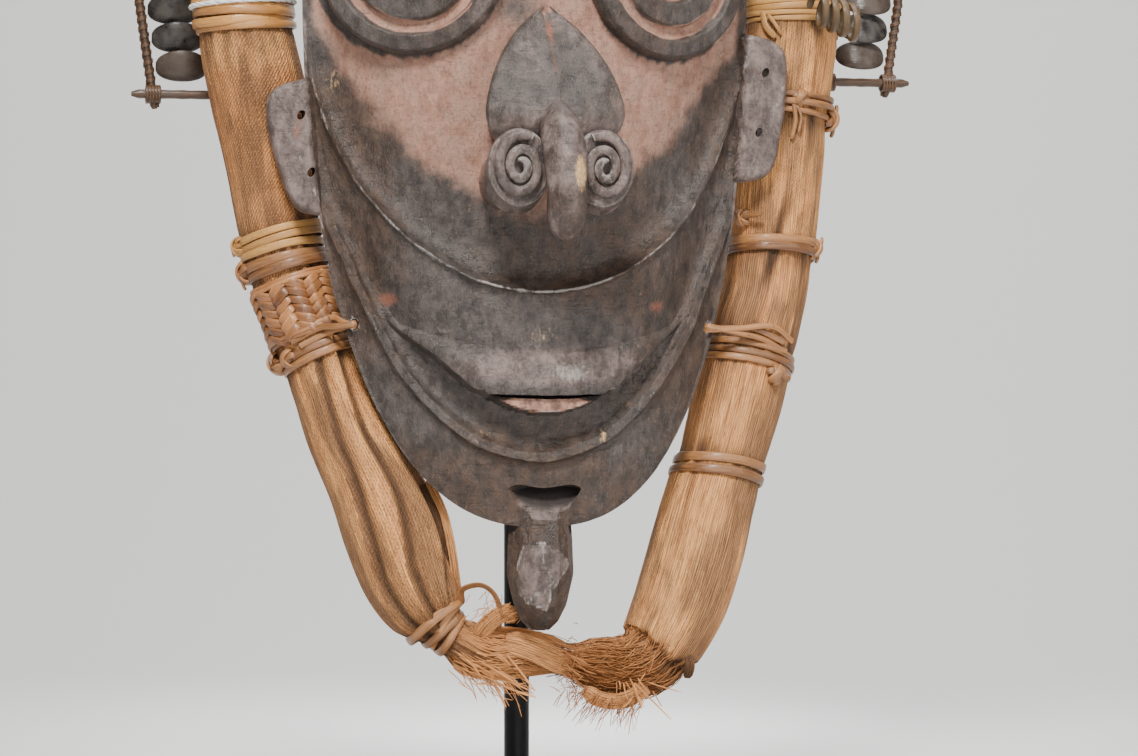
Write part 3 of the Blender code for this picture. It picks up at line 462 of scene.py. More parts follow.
def crescent(rim, x):
    """Height of a crescent rim at x. Its right side runs a little higher than its left."""
    curved = np.minimum(np.abs(x), rim["straight"])
    height = rim["low"] + rim["rise"] * (1 - np.sqrt(1 - (curved / rim["half"]) ** 2))
    lean = rim["lean"] * x * (1 - np.minimum(1, (x / rim["end"]) ** 2))
    return height + (np.abs(x) - curved) * crescent_slope(rim, x) + lean


def muzzle_top(x):
    """Height of the crease above the muzzle at x."""
    return (MUZZLE_TOP_Z + MUZZLE_TOP_RISE * (x / MUZZLE_HALF_WIDTH) ** 2
            + 0.22 * np.maximum(0.0, np.abs(x) - 66) ** 1.6)


def mouth_line(x):
    """Height of the mouth's line at x."""
    return smooth(MOUTH_LINE, np.abs(x))


def lip_line(x):
    """Height of the lower lip's edge at x."""
    return LIP_LOW_Z + LIP_BOW * (x / MOUTH_HALF_WIDTH) ** 2


def brow_line(x):
    """Height at x of the row that runs through the forehead."""
    return BROW_Z + BROW_RISE * (x / HALF_WIDTH) ** 2


def edge_depth(z):
    """Depth of the mask's front edge at height z."""
    return EDGE_DEPTH_LOW + EDGE_DEPTH_GAIN * (1 - np.exp(-np.maximum(0.0, z - CHIN_Z) / EDGE_DEPTH_HEIGHT))


def dome_depth(x, z):
    """Depth of the plain face, before its relief."""
    centre = smooth(CENTRE_PROFILE, z)
    across = np.minimum(1.0, np.abs(x) / np.maximum(1.0, outline_half_width(z)))
    return centre + (edge_depth(z) - centre) * across ** CROSS_POWER


def rim_distance(rim, x, z):
    """Distance above a crescent rim's edge, negative below it."""
    return (z - crescent(rim, x)) / np.hypot(1.0, crescent_slope(rim, x))


def rim_relief(rim, x, z):
    """Depth that a crescent rim adds: a bevelled band and a scoop above its edge and a step below it."""
    wobble = 0.5 * noise(x, 0, z, 11.0, 3) + 0.25 * noise(x, 0, z, 4.0, 4)
    away = rim_distance(rim, x, z) + wobble
    fade = 1 - np.minimum(1.0, np.abs(x) / HALF_WIDTH) ** 12
    inner = np.maximum(0, away - rim["band"])
    above = (rim["scoop"] * fade * (1 - np.exp(-inner / 4.5)) * np.exp(-((inner / rim["reach"]) ** 2))
             + rim["bevel"] * np.clip(away / rim["band"], 0, 1) * np.exp(-inner / 6))
    lower = np.minimum(0, away)
    below = rim["step"] * fade * (1 - np.exp(lower / 1.2)) * np.exp(lower / rim["fade"])
    return np.where(away >= 0, above, below)


def muzzle_relief(x, z):
    """Depth that the muzzle takes away, steep along the mouth and soft along the crease above."""
    wide = np.minimum(1, np.abs(x) / MUZZLE_HALF_WIDTH)
    mouth, high = mouth_line(x), muzzle_top(x)
    low = np.where(np.abs(x) < MOUTH_HALF_WIDTH, np.minimum(lip_line(x), mouth), mouth)
    fade = np.maximum(0, 1 - wide ** 3) ** 0.8
    s = np.clip((z - mouth) / np.maximum(1.0, high - mouth), 0, 1)
    raised = -MUZZLE_HEIGHT * fade * np.clip((z - low) / 1.4, 0, 1) * (1 - s * s) ** 0.9
    setback = LIP_SETBACK * fade * np.exp(np.minimum(0, z - low) / 14.0)
    return np.where(wide >= 1, 0.0, np.where(z < low, setback, raised))


def tool_relief(x, z):
    """Depth of adze marks, chips and unevenness."""
    marks, cell = scallops(x, z * 0.8, 8.0, 5)
    cheek = rise(0, 12, rim_distance(CHEEK_RIM, x, z))
    depth = (0.62 - 0.40 * cheek) * (0.45 - marks ** 2) + 0.45 * (cell - 0.5) * (1 - 0.5 * cheek)
    depth += 0.5 * noise(x, 0, z, 34.0, 1) + 0.16 * layers(x, 0, z, (2.2, 1.0, 5.0), 2)
    plane, plane_cell = scallops(x * 0.7, z, 13.0, 14)
    depth += (1 - 0.6 * cheek) * (0.9 * (0.4 - plane ** 2) + 0.7 * (plane_cell - 0.5))
    muzzle = near(x, z, 4, 229, 34, 8)
    chip, chip_cell = scallops(x, z, 5.5, 9)
    depth += muzzle * ((0.5 - chip ** 2) * 1.1 + (chip_cell - 0.5) * 1.3)
    broken = near(x, z, 44, 229, 15, 7)
    rough, rough_cell = scallops(x, z, 3.0, 11)
    depth += broken * (1.2 + (rough_cell - 0.5) * 1.9 + 0.6 * noise(x, 0, z, 2.0, 12))
    notch = rise(10, 6, np.abs(x + 2)) * rise(-4, 0, z - 268) * rise(6, 1, z - 268)
    depth += 1.3 * notch
    return depth


def face_depth(x, z):
    """Depth of the carved face."""
    depth = dome_depth(x, z) + rim_relief(CHIN_RIM, x, z) + rim_relief(CHEEK_RIM, x, z) + muzzle_relief(x, z)
    lip = np.clip((z - lip_line(x)) / np.maximum(0.6, mouth_line(x) - lip_line(x)), 0, 1)
    lip = lip * rise(0.4, -0.4, z - mouth_line(x)) * rise(MOUTH_HALF_WIDTH, MOUTH_HALF_WIDTH - 5, np.abs(x))
    depth = depth + LIP_SLANT * lip + 0.5 * lip * noise(x, 0, z, (5.0, 1.0, 2.5), 13)
    return np.minimum(depth, edge_depth(z) + 1.5) + tool_relief(x, z)


def row_end(curve):
    """x at which a row curve meets the outline."""
    low, high = 30.0, HALF_WIDTH
    for _ in range(40):
        middle = (low + high) / 2
        low, high = (middle, high) if outline_half_width(curve(middle)) > middle else (low, middle)
    return low


def face_grid():
    """Rows of points that follow the carved lines, close together along the sharp ones."""
    columns = 216
    u = np.linspace(-1, 1, columns + 1)
    curves = (
        (chin_outline, ROW_END_X, 36),
        (lambda x: crescent(CHIN_RIM, x), None, 40),
        (mouth_line, None, 28),
        (muzzle_top, None, 30),
        (lambda x: crescent(CHEEK_RIM, x), None, 104),
        (brow_line, None, 34),
        (crown_outline, ROW_END_X, 0),
    )
    keys = [(curve, end or row_end(curve), count) for curve, end, count in curves]
    rows = []
    for (low, low_end, count), (high, high_end, _) in zip(keys, keys[1:]):
        for n in range(count):
            t = n / count
            f = t - 0.62 * math.sin(2 * math.pi * t) / (2 * math.pi)
            end_z = float(low(low_end)) * (1 - f) + float(high(high_end)) * f
            end_x = float(outline_half_width(end_z)) if n else low_end
            rows.append((u * end_x, low(u * low_end) * (1 - f) + high(u * high_end) * f))
    rows.append((u * ROW_END_X, crown_outline(u * ROW_END_X)))
    x = np.array([row[0] for row in rows])
    z = np.array([row[1] for row in rows])
    return np.stack([x, face_depth(x, z), z], -1)


# Meshes

def placed(name, data):
    """Object with this data, linked to the scene."""
    made = bpy.data.objects.new(name, data)
    bpy.context.scene.collection.objects.link(made)
    return made


def new_object(name, points, faces):
    """Object from points in millimetres and faces, linked to the scene."""
    mesh = bpy.data.meshes.new(name)
    mesh.from_pydata(world(points).tolist(), [], faces)
    return placed(name, mesh)


def keep_value(mesh, name, values):
    """Keeps a value at each point of a mesh."""
    attribute = mesh.attributes.new(name, "FLOAT", "POINT")
    attribute.data.foreach_set("value", np.asarray(values, np.float32))


def grid_quads(grid, wrapped=True):
    """Number of each point of a grid, and the faces between its rows, which close round where wrapped."""
    rows, columns = grid.shape[:2]
    index = np.arange(rows * columns).reshape(rows, columns)
    ring = np.concatenate([index, index[:, :1]], axis=1) if wrapped else index
    corners = (ring[:-1, :-1], ring[:-1, 1:], ring[1:, 1:], ring[1:, :-1])
    return index, np.stack(corners, -1).reshape(-1, 4)


def signed_volume(points, quads):
    """Positive where the faces look outwards."""
    a, b, c, d = (points[quads[:, n]] for n in range(4))
    return float(np.sum(np.einsum("ij,ij->i", a, np.cross(b, c)) + np.einsum("ij,ij->i", a, np.cross(c, d))))


class Piece:
    """Swept surfaces gathered into one mesh, with UVs in millimetres and values at the points."""

    def __init__(self, *names):
        self.names = names
        self.points = []
        self.faces = []
        self.loops = []
        self.values = {name: [] for name in names}
        self.count = 0

    def add(self, grid, u, v, **values):
        """Tube of rows of points, its UVs across and along, and its values."""
        grid = np.asarray(grid, float)
        rows, columns = grid.shape[:2]
        flat = grid.reshape(-1, 3)
        index, quads = grid_quads(grid)
        uv = np.stack(np.meshgrid(u, v), -1)
        loops = np.stack([uv[:-1, :-1], uv[:-1, 1:], uv[1:, 1:], uv[1:, :-1]], 2).reshape(-1, 4, 2)
        first, last = index[0][::-1], index[-1]
        caps = [(first, uv[0, :-1][::-1]), (last, uv[-1, :-1])]
        if signed_volume(flat - flat.mean(0), quads) < 0:
            quads, loops = quads[:, ::-1], loops[:, ::-1]
            caps = [(face[::-1], places[::-1]) for face, places in caps]
        self.faces += (quads + self.count).tolist()
        self.loops.append(loops.reshape(-1, 2))
        for face, places in caps:
            self.faces.append((face + self.count).tolist())
            self.loops.append(places)
        self.points.append(flat)
        for name in self.names:
            given = np.broadcast_to(np.asarray(values.get(name, 0.0), float), (rows, columns))
            self.values[name].append(given.reshape(-1))
        self.count += len(flat)

    def make(self, name, paint, slot, nodes, sharp=60.0):
        """The finished object, which stands for the CAD nodes named."""
        made = new_object(name, np.concatenate(self.points), self.faces)
        mesh = made.data
        layer = mesh.uv_layers.new(name="UVMap")
        layer.data.foreach_set("uv", np.concatenate(self.loops).ravel().astype(np.float32))
        for value in self.names:
            keep_value(mesh, value, np.concatenate(self.values[value]))
        return dress(made, paint, nodes, sharp)


def dress(made, paint, nodes, sharp=60.0):
    """Gives a piece its material, body and the CAD nodes that it stands for."""
    mesh = made.data
    mesh.polygons.foreach_set("use_smooth", [True] * len(mesh.polygons))
    mesh.set_sharp_from_angle(angle=math.radians(sharp))
    mesh.materials.clear()
    mesh.materials.append(paint)
    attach(made, "root")
    if nodes:
        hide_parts(*nodes)
    return made


def carried(path, first):
    """Normals along a path that turn as little as they can, from a first one."""
    tangents = unit(np.gradient(path, axis=0))
    normal = np.asarray(first, float)
    normals = []
    for tangent in tangents:
        normal = unit(normal - tangent * np.dot(normal, tangent))
        normals.append(normal)
    return np.array(normals)


def sweep(piece, path, normals, width, thick, sides=8, square=0.7, blunt=0.55, **values):
    """Strip or cord along a path: flat with rounded edges where square is low, round at 1."""
    path = np.asarray(path, float)
    tangents = unit(np.gradient(path, axis=0))
    across = unit(np.cross(tangents, normals))
    out = np.cross(across, tangents)
    run = np.concatenate([[0], np.cumsum(np.linalg.norm(np.diff(path, axis=0), axis=1))])
    ends = np.minimum(1, blunt + np.minimum(run, run[-1] - run) / np.maximum(np.max(width), 0.3))
    a = circle(sides, 0.5)
    c = np.sign(np.cos(a)) * np.abs(np.cos(a)) ** square
    s = np.sign(np.sin(a)) * np.abs(np.sin(a)) ** ((1 + square) / 2)
    half_width = np.broadcast_to(width, run.shape) / 2 * ends
    half_thick = np.broadcast_to(thick, run.shape) / 2 * ends
    grid = (path[:, None] + across[:, None] * (half_width[:, None] * c)[..., None]
            + out[:, None] * (half_thick[:, None] * s)[..., None])
    u = np.append(c, c[0]) * np.max(width) / 2
    piece.add(grid, u, run, **values)


def cord(piece, path, radius, sides=8, **values):
    """Round cord along a path."""
    path = np.asarray(path, float)
    start = unit(path[1] - path[0])
    side = np.array([0.0, 0.0, 1.0]) if abs(start[2]) < 0.8 else np.array([1.0, 0.0, 0.0])
    radius = np.asarray(radius, float)
    sweep(piece, path, carried(path, side), radius * 2, radius * 2, sides, 1.0, **values)


def solid(name, grid):
    """Closed object from rows of points, for a Boolean."""
    grid = np.asarray(grid, float)
    flat = grid.reshape(-1, 3)
    index, quads = grid_quads(grid)
    caps = [index[0][::-1], index[-1]]
    if signed_volume(flat - flat.mean(0), quads) < 0:
        quads, caps = quads[:, ::-1], [cap[::-1] for cap in caps]
    return new_object(name, flat, quads.tolist() + [cap.tolist() for cap in caps])


def refined(grid, rows, columns):
    """Grid resampled on smooth curves down its columns and along its rows."""
    g = np.asarray(grid, float)
    n = g.shape[1]
    g = through(g.reshape(len(g), -1), np.linspace(0, 1, rows)).reshape(rows, n, 3).swapaxes(0, 1)
    g = through(g.reshape(n, -1), np.linspace(0, 1, columns)).reshape(columns, rows, 3)
    return g.swapaxes(0, 1)


# Materials

class Paint:
    """A Principled material and short ways to add nodes to it. Sizes are in millimetres."""

    def __init__(self, name, roughness=0.6, specular=0.4, coat=0.0, coat_roughness=0.2):
        self.material = bpy.data.materials.new(name)
        self.material.use_nodes = True
        self.tree = self.material.node_tree
        self.shader = self.tree.nodes["Principled BSDF"]
        self.coordinates = self.tree.nodes.new("ShaderNodeTexCoord")
        for socket, value in (("Roughness", roughness), ("Specular IOR Level", specular),
                              ("Coat Weight", coat), ("Coat Roughness", coat_roughness)):
            self.shader.inputs[socket].default_value = value

    def put(self, socket, value):
        """Links or sets an input."""
        if isinstance(value, bpy.types.NodeSocket):
            self.tree.links.new(value, socket)
        elif isinstance(value, tuple) and len(value) == 3 and len(socket.default_value) == 4:
            socket.default_value = (*value, 1.0)
        else:
            socket.default_value = value

    def calc(self, operation, a, b):
        """Sum, difference or product of two values."""
        node = self.tree.nodes.new("ShaderNodeMath")
        node.operation = operation
        self.put(node.inputs[0], a)
        self.put(node.inputs[1], b)
        return node.outputs[0]

    def value(self, name):
        """A value kept at the mesh's points."""
        node = self.tree.nodes.new("ShaderNodeAttribute")
        node.attribute_name = name
        return node.outputs["Fac"]

    def at(self, size, source="Object", turn=0.0):
        """Coordinates that advance by one over each size, one number or one per axis."""
        sizes = size if isinstance(size, tuple) else (size,) * 3
        unit_size = 1 if source == "UV" else MM
        node = self.tree.nodes.new("ShaderNodeMapping")
        node.vector_type = "POINT"
        node.inputs["Rotation"].default_value = (0, 0, turn)
        node.inputs["Scale"].default_value = tuple(1 / (s * unit_size) for s in sizes)
        self.tree.links.new(self.coordinates.outputs[source], node.inputs["Vector"])
        return node.outputs[0]

    def noise(self, size, detail=3.0, source="Object", distortion=0.0, rough=0.55):
        node = self.tree.nodes.new("ShaderNodeTexNoise")
        node.inputs["Scale"].default_value = 1.0
        node.inputs["Detail"].default_value = detail
        node.inputs["Roughness"].default_value = rough
        node.inputs["Distortion"].default_value = distortion
        self.tree.links.new(self.at(size, source), node.inputs["Vector"])
        return node.outputs["Fac"]

    def lines(self, pitch, turn=0.0, distortion=1.5, stretch=12.0):
        """Nearly regular fine lines along the UV's second axis, at a pitch and turned a little."""
        node = self.tree.nodes.new("ShaderNodeTexWave")
        node.inputs["Scale"].default_value = 1.0
        node.inputs["Distortion"].default_value = distortion
        node.inputs["Detail"].default_value = 2.0
        node.inputs["Detail Scale"].default_value = 1.4
        across = pitch / WAVE_PERIOD
        self.tree.links.new(self.at((across, across * stretch, 1.0), "UV", turn), node.inputs["Vector"])
        return node.outputs["Fac"]

    def between(self, value, low, high, to_low=0.0, to_high=1.0):
        """Value brought from one range to another, and held at its ends."""
        node = self.tree.nodes.new("ShaderNodeMapRange")
        node.interpolation_type = "SMOOTHSTEP"
        self.put(node.inputs["Value"], value)
        for socket, number in zip(("From Min", "From Max", "To Min", "To Max"), (low, high, to_low, to_high)):
            node.inputs[socket].default_value = number
        return node.outputs["Result"]

    def broken(self, value, grain, low, high, strength=0.8):
        """A soft value with its border broken up by noise."""
        shifted = self.calc("MULTIPLY", self.calc("SUBTRACT", grain, 0.5), strength)
        return self.between(self.calc("ADD", value, shifted), low, high)

    def mix(self, share, a, b):
        """Colour between a and b."""
        node = self.tree.nodes.new("ShaderNodeMix")
        node.data_type = "RGBA"
        self.put(node.inputs[0], share)
        self.put(node.inputs[6], a)
        self.put(node.inputs[7], b)
        return node.outputs[2]

    def bump(self, height, depth, normal=None):
        """Normal from a height of 0 to 1 that stands for a depth in millimetres."""
        node = self.tree.nodes.new("ShaderNodeBump")
        node.inputs["Strength"].default_value = 1.0
        node.inputs["Distance"].default_value = depth * MM
        self.put(node.inputs["Height"], height)
        if normal:
            self.put(node.inputs["Normal"], normal)
        return node.outputs["Normal"]

    def done(self, colour, roughness=None, normal=None):
        self.put(self.shader.inputs["Base Color"], colour)
        if roughness:
            self.put(self.shader.inputs["Roughness"], roughness)
        if normal:
            self.put(self.shader.inputs["Normal"], normal)
        return self.material


def wood_paint():
    """Soot-dark carved wood with pink earth paint, brown patches and pale worn edges, and painted highlights and
    painted shade from the mesh's values.
    """
    p = Paint("carved_wood_worn", roughness=0.6, specular=0.4)
    grain = p.noise((1.0, 1.0, 9.0), 4, distortion=0.4)
    fine = p.noise((0.6, 0.6, 1.6), 3)
    patch = p.noise((22, 22, 28), 8, rough=0.68)
    small = p.noise((6, 6, 9), 8, rough=0.72)
    soot = p.mix(p.between(small, 0.36, 0.66), (0.028, 0.022, 0.019), (0.098, 0.078, 0.069))
    brown = p.mix(p.between(small, 0.36, 0.66), (0.028, 0.016, 0.010), (0.088, 0.048, 0.028))
    share = p.broken(p.value("brown"), patch, 0.25, 0.75, 1.2)
    dark = p.mix(share, soot, brown)
    dark = p.mix(p.between(p.noise((1.5, 1.5, 2.4), 2), 0.64, 0.74, 0.0, 0.7), dark, (0.19, 0.115, 0.062))
    dark = p.mix(p.between(fine, 0.3, 0.7, 0.0, 0.55), dark, (0.045, 0.038, 0.036))
    # Mauve-grey patina, also laid on as a painted highlight on the muzzle, the lug's facet and the slot's scoop.
    mauve_and_highlight = p.mix(p.between(small, 0.35, 0.7), (0.066, 0.047, 0.041), (0.215, 0.160, 0.142))
    dark = p.mix(p.broken(p.value("mauve_and_highlight"), fine, 0.3, 0.8, 0.7), dark, mauve_and_highlight)
    pink = p.mix(p.between(small, 0.3, 0.7), (0.25, 0.120, 0.082), (0.42, 0.235, 0.168))
    pink = p.mix(p.between(p.noise((9, 9, 12), 2), 0.42, 0.62, 0.0, 0.55), pink, (0.33, 0.21, 0.155))
    flecks = p.noise((1.6, 1.6, 2.6), 8, rough=0.78)
    pink = p.mix(p.between(flecks, 0.50, 0.62, 0.0, 0.6), pink, (0.130, 0.080, 0.062))
    painted = p.broken(p.value("pink"), p.noise((3.0, 3.0, 4.0), 8, rough=0.7), 0.1, 0.9, 0.55)
    base = p.mix(painted, dark, pink)
    red = p.broken(p.value("red"), small, 0.35, 0.8, 0.7)
    base = p.mix(p.calc("MULTIPLY", red, 0.8), base, (0.21, 0.075, 0.045))
    ochre = p.broken(p.value("ochre"), p.noise((1.6, 1.6, 3.0), 3), 0.35, 0.75, 0.8)
    base = p.mix(ochre, base, p.mix(p.between(fine, 0.35, 0.65), (0.42, 0.23, 0.10), (0.74, 0.49, 0.25)))
    lip = p.broken(p.value("lip"), fine, 0.35, 0.7, 0.6)
    base = p.mix(lip, base, p.mix(p.between(small, 0.35, 0.65), (0.110, 0.055, 0.038), (0.42, 0.225, 0.155)))
    # Pale worn edges, with painted highlights where the value also carries them.
    worn = p.broken(p.value("wear_and_highlight"), p.noise((1.3, 1.3, 2.2), 4), 0.42, 0.78, 1.0)
    base = p.mix(p.calc("MULTIPLY", worn, 0.85), base,
                 p.mix(small, (0.20, 0.175, 0.160), (0.36, 0.325, 0.30)))
    # Painted shade: near black where the mesh's shade value is high.
    base = p.mix(p.between(p.value("dirt"), 0.1, 1.0, 0.0, 0.85), base, (0.014, 0.011, 0.010))
    rough = p.between(small, 0.36, 0.66, 0.30, 0.50)
    rough = p.calc("ADD", rough, p.calc("MULTIPLY", painted, 0.25))
    rough = p.calc("ADD", rough, p.between(p.value("dirt"), 0.3, 1.0, 0.0, 0.55))
    normal = p.bump(grain, 0.28)
    normal = p.bump(fine, 0.4, normal)
    normal = p.bump(small, 0.9, normal)
    normal = p.bump(p.calc("MULTIPLY", flecks, p.value("pink")), 0.35, normal)
    scratch = p.noise((7.0, 7.0, 0.35), 2, distortion=1.2)
    normal = p.bump(p.between(scratch, 0.60, 0.70), 0.12, normal)
    return p.done(base, rough, normal)


def spathe_paint():
    """Dry palm spathe: fine fibres along the roll, in straw, tan and dark brown, with a painted highlight on the
    raised threads and painted shade.
    """
    p = Paint("palm_spathe_fibre", roughness=0.8, specular=0.25)
    fine = p.noise((0.45, 9.0, 1.0), 4, "UV", 0.25)
    thread = p.noise((0.95, 30.0, 1.0), 3, "UV", 0.4)
    cross = p.noise((9.0, 1.2, 1.0), 2, "UV", 0.8)
    blotch = p.noise((15.0, 34.0, 1.0), 4, "UV", 0.6)
    tone = p.value("tone")
    straw = p.mix(p.between(thread, 0.20, 0.80), (0.48, 0.180, 0.058), (0.97, 0.485, 0.175))
    tan = p.mix(p.between(thread, 0.20, 0.82), (0.34, 0.120, 0.038), (0.82, 0.365, 0.128))
    light = p.broken(tone, blotch, 0.25, 0.75, 0.9)
    base = p.mix(light, tan, straw)
    rust = p.noise((11.0, 26.0, 1.0), 7, "UV", 0.8, 0.7)
    base = p.mix(p.between(rust, 0.50, 0.66, 0.0, 0.55), base, (0.40, 0.150, 0.045))
    base = p.mix(p.between(fine, 0.52, 0.74, 0.0, 0.6), base, (0.150, 0.066, 0.028))
    base = p.mix(p.between(fine, 0.22, 0.42, 0.45, 0.0), base, (0.90, 0.50, 0.21))
    stain = p.broken(p.value("stain"), blotch, 0.35, 0.85, 1.0)
    base = p.mix(p.calc("MULTIPLY", stain, 0.7), base, (0.105, 0.055, 0.030))
    straight = p.between(p.lines(1.1, 0.0, 4.5), 0.0, 1.0, 0.25, 1.0)
    threads = p.between(p.lines(1.5, -0.30, 2.4, 1.0), 0.0, 1.0, 0.35, 1.0)
    net = p.calc("MULTIPLY", p.lines(1.35, 0.62, 3.2, 1.0), threads)
    weave = p.mix(p.value("net"), straight, net)
    base = p.mix(p.between(weave, 0.45, 0.05, 0.0, 0.6), base, (0.150, 0.066, 0.028))
    # Painted highlight on the raised threads of the weave.
    base = p.mix(p.between(weave, 0.55, 0.95, 0.0, 0.18), base, (0.95, 0.54, 0.24))
    # Painted shade: dark brown where the skin's shade value is high.
    base = p.mix(p.between(p.value("dirt"), 0.0, 1.0, 0.0, 0.9), base, (0.040, 0.020, 0.011))
    normal = p.bump(weave, 0.6)
    normal = p.bump(fine, 0.6, normal)
    normal = p.bump(thread, 0.7, normal)
    normal = p.bump(cross, 0.25, normal)
    return p.done(base, p.between(fine, 0.3, 0.7, 0.58, 0.85), normal)


def strip_paint(name, dark, light, roughness, coat):
    """Split cane or bast strip, streaked along its length and different from strip to strip."""
    p = Paint(name, roughness=roughness, specular=0.45, coat=coat, coat_roughness=0.25)
    along = p.noise((0.42, 30.0, 1.0), 3, "UV", 0.3)
    wide = p.noise((2.2, 22.0, 1.0), 3, "UV", 0.5)
    spots = p.noise((2.5, 2.5, 2.5), 3)
    share = p.calc("MULTIPLY", p.value("tint"), 0.65)
    base = p.mix(p.calc("ADD", share, p.between(wide, 0.3, 0.7, 0.0, 0.35)), dark, light)
    shadow = tuple(c * 0.35 for c in dark)
    base = p.mix(p.between(along, 0.52, 0.75, 0.0, 0.55), base, shadow)
    base = p.mix(p.between(spots, 0.60, 0.78, 0.0, 0.5), base, shadow)
    normal = p.bump(along, 0.30)
    normal = p.bump(spots, 0.25, normal)
    return p.done(base, p.between(wide, 0.3, 0.7, roughness - 0.08, roughness + 0.14), normal)


def plain_paint(name, dark, light, size, roughness, bump, specular=0.4):
    """One colour with natural variation at a size."""
    p = Paint(name, roughness=roughness, specular=specular)
    mottle = p.noise(size, 4, distortion=0.3)
    fine = p.noise(tuple(s / 6 for s in size), 3)
    base = p.mix(p.between(mottle, 0.3, 0.7), dark, light)
    normal = p.bump(fine, bump)
    return p.done(base, p.between(fine, 0.3, 0.7, roughness - 0.07, roughness + 0.1), normal)


# Mask

def hollow_solid():
    """Everything behind the mask: the rim plane outside, and the adzed hollow inside its rim."""
    spokes = 144
    middle = (CHIN_Z + CROWN_Z) / 2
    a = circle(spokes, 0.5)
    reach = []
    for angle in a:
        low, high = 0.0, 400.0
        for _ in range(30):
            here = (low + high) / 2
            z = middle + here * math.sin(angle)
            inside = CHIN_Z < z < CROWN_Z and abs(here * math.cos(angle)) < outline_half_width(z)
            low, high = (here, high) if inside else (low, here)
        reach.append(low)
    reach = np.array(reach)
    sections = []
    for share in np.linspace(0.06, 1, 26):
        r = (reach - RIM_WIDTH) * share
        x, z = r * np.cos(a), middle + r * np.sin(a)
        rim = edge_depth(z) + RIM_THICKNESS
        marks, cell = scallops(x, z * 0.7, 15.0, 21)
        bed = dome_depth(x, z) + WALL + 1.4 * (0.3 - marks ** 2) + 0.8 * (cell - 0.5)
        depth = rim if share == 1 else np.minimum(rim, bed)
        sections.append(np.stack([x, depth, z], -1))
    outer_x, outer_z = (reach + 45) * np.cos(a), middle + (reach + 45) * np.sin(a)
    sections.append(np.stack([outer_x, edge_depth(outer_z) + RIM_THICKNESS, outer_z], -1))
    sections.append(np.stack([outer_x, np.full(spokes, BACK_DEPTH + 30), outer_z], -1))
    return solid("hollow", sections)


def face_solid():
    """Solid behind the carved face, back to a flat plane."""
    grid = face_grid()
    index, quads = grid_quads(grid, wrapped=False)
    faces = quads.tolist()
    border = np.concatenate([index[0], index[1:, -1], index[-1, -2::-1], index[-2:0:-1, 0]])
    points = [grid.reshape(-1, 3)]
    edge = points[0][border]
    middle = (CHIN_Z + CROWN_Z) / 2
    back = np.stack([edge[:, 0] * SIDE_TAPER, np.full(len(edge), BACK_DEPTH),
                     middle + (edge[:, 2] - middle) * (1 + SIDE_TAPER) / 2], -1)
    last, count = border, index.size
    for share in (0.03, 0.08, 0.15, 0.24, 0.36, 1.0):
        ring = edge + (back - edge) * share
        if share < 1:
            out = unit(ring * [1, 0, 1] - [0, 0, middle])
            ring = ring + out * (0.5 * noise(*ring.T, 7.0, 31) - 0.4)[:, None]
        here = np.arange(len(border)) + count
        ahead = np.roll(np.arange(len(border)), -1)
        faces += np.stack([last, here, here[ahead], last[ahead]], -1).tolist()
        points.append(ring)
        last, count = here, count + len(border)
    faces.append(last[::-1].tolist())
    return new_object("mask", np.concatenate(points), faces)


def eye_solid(side):
    """Ringed eye: a profile turned about an axis that leans outwards."""
    radii, heights = np.array(EYE_PROFILE, float).T
    r = np.linspace(47, 0.8, 74)
    h = np.interp(-r, -radii, heights)
    h = np.convolve(np.pad(h, 1, mode="edge"), [0.22, 0.56, 0.22], "valid")
    r = np.concatenate([[20.0, 44.0], r])
    h = np.concatenate([[-12.0, -12.0], h])
    a = circle(120)
    x, z = r[:, None] * np.cos(a), r[:, None] * np.sin(a)
    lift = np.repeat(h[:, None], len(a), 1)
    marks, cell = scallops(x, z, 6.0, 41)
    lift[2:] += (0.25 * (0.4 - marks ** 2) + 0.25 * (cell - 0.5) + 0.25 * noise(x, 0, z, 9.0, 42))[2:]
    lean = math.radians(EYE_LEAN)
    centre = float(dome_depth(EYE_X, EYE_Z))
    grid = np.stack([
        side * (EYE_X + x * math.cos(lean) + lift * math.sin(lean)),
        centre + x * math.sin(lean) - lift * math.cos(lean),
        EYE_Z + z,
    ], -1)
    return solid("eye", grid)


def nose_solid():
    """Pointed bulb of the nose, with a crease down from its tip and full lobes below."""
    sections = []
    for z, half, crest, rim in NOSE_STATIONS:
        right = [
            (0.2 * half, crest - 0.6, z), (0.52 * half, (rim + 3 * crest) / 4 - 1.2, z), (0.86 * half,
                                                                                          rim - 3.4, z),
            (half, rim, z), (0.93 * half, rim + 9, z), (0.8 * half, NOSE_ROOT_DEPTH, z),
        ]
        left = [(-x, depth, height) for x, depth, height in reversed(right)]
        sections.append(left + [(0, crest - 1.6, z)] + right)
    grid = refined(sections, 64, 80)
    x, depth, z = grid[..., 0], grid[..., 1], grid[..., 2]
    crease = np.exp(-((x + 0.04 * (z - 380)) / 1.6) ** 2) * rise(366, 384, z) * rise(406, 400, z)
    marks, cell = scallops(x, z, 7.0, 51)
    depth = depth + 1.5 * crease + 0.35 * (marks ** 2 - 0.4) + 0.3 * (cell - 0.5) + 0.25 * noise(x, 0, z,
                                                                                                 2.5, 52)
    grid = np.stack([x, depth, z], -1)
    return solid("nose", grid)


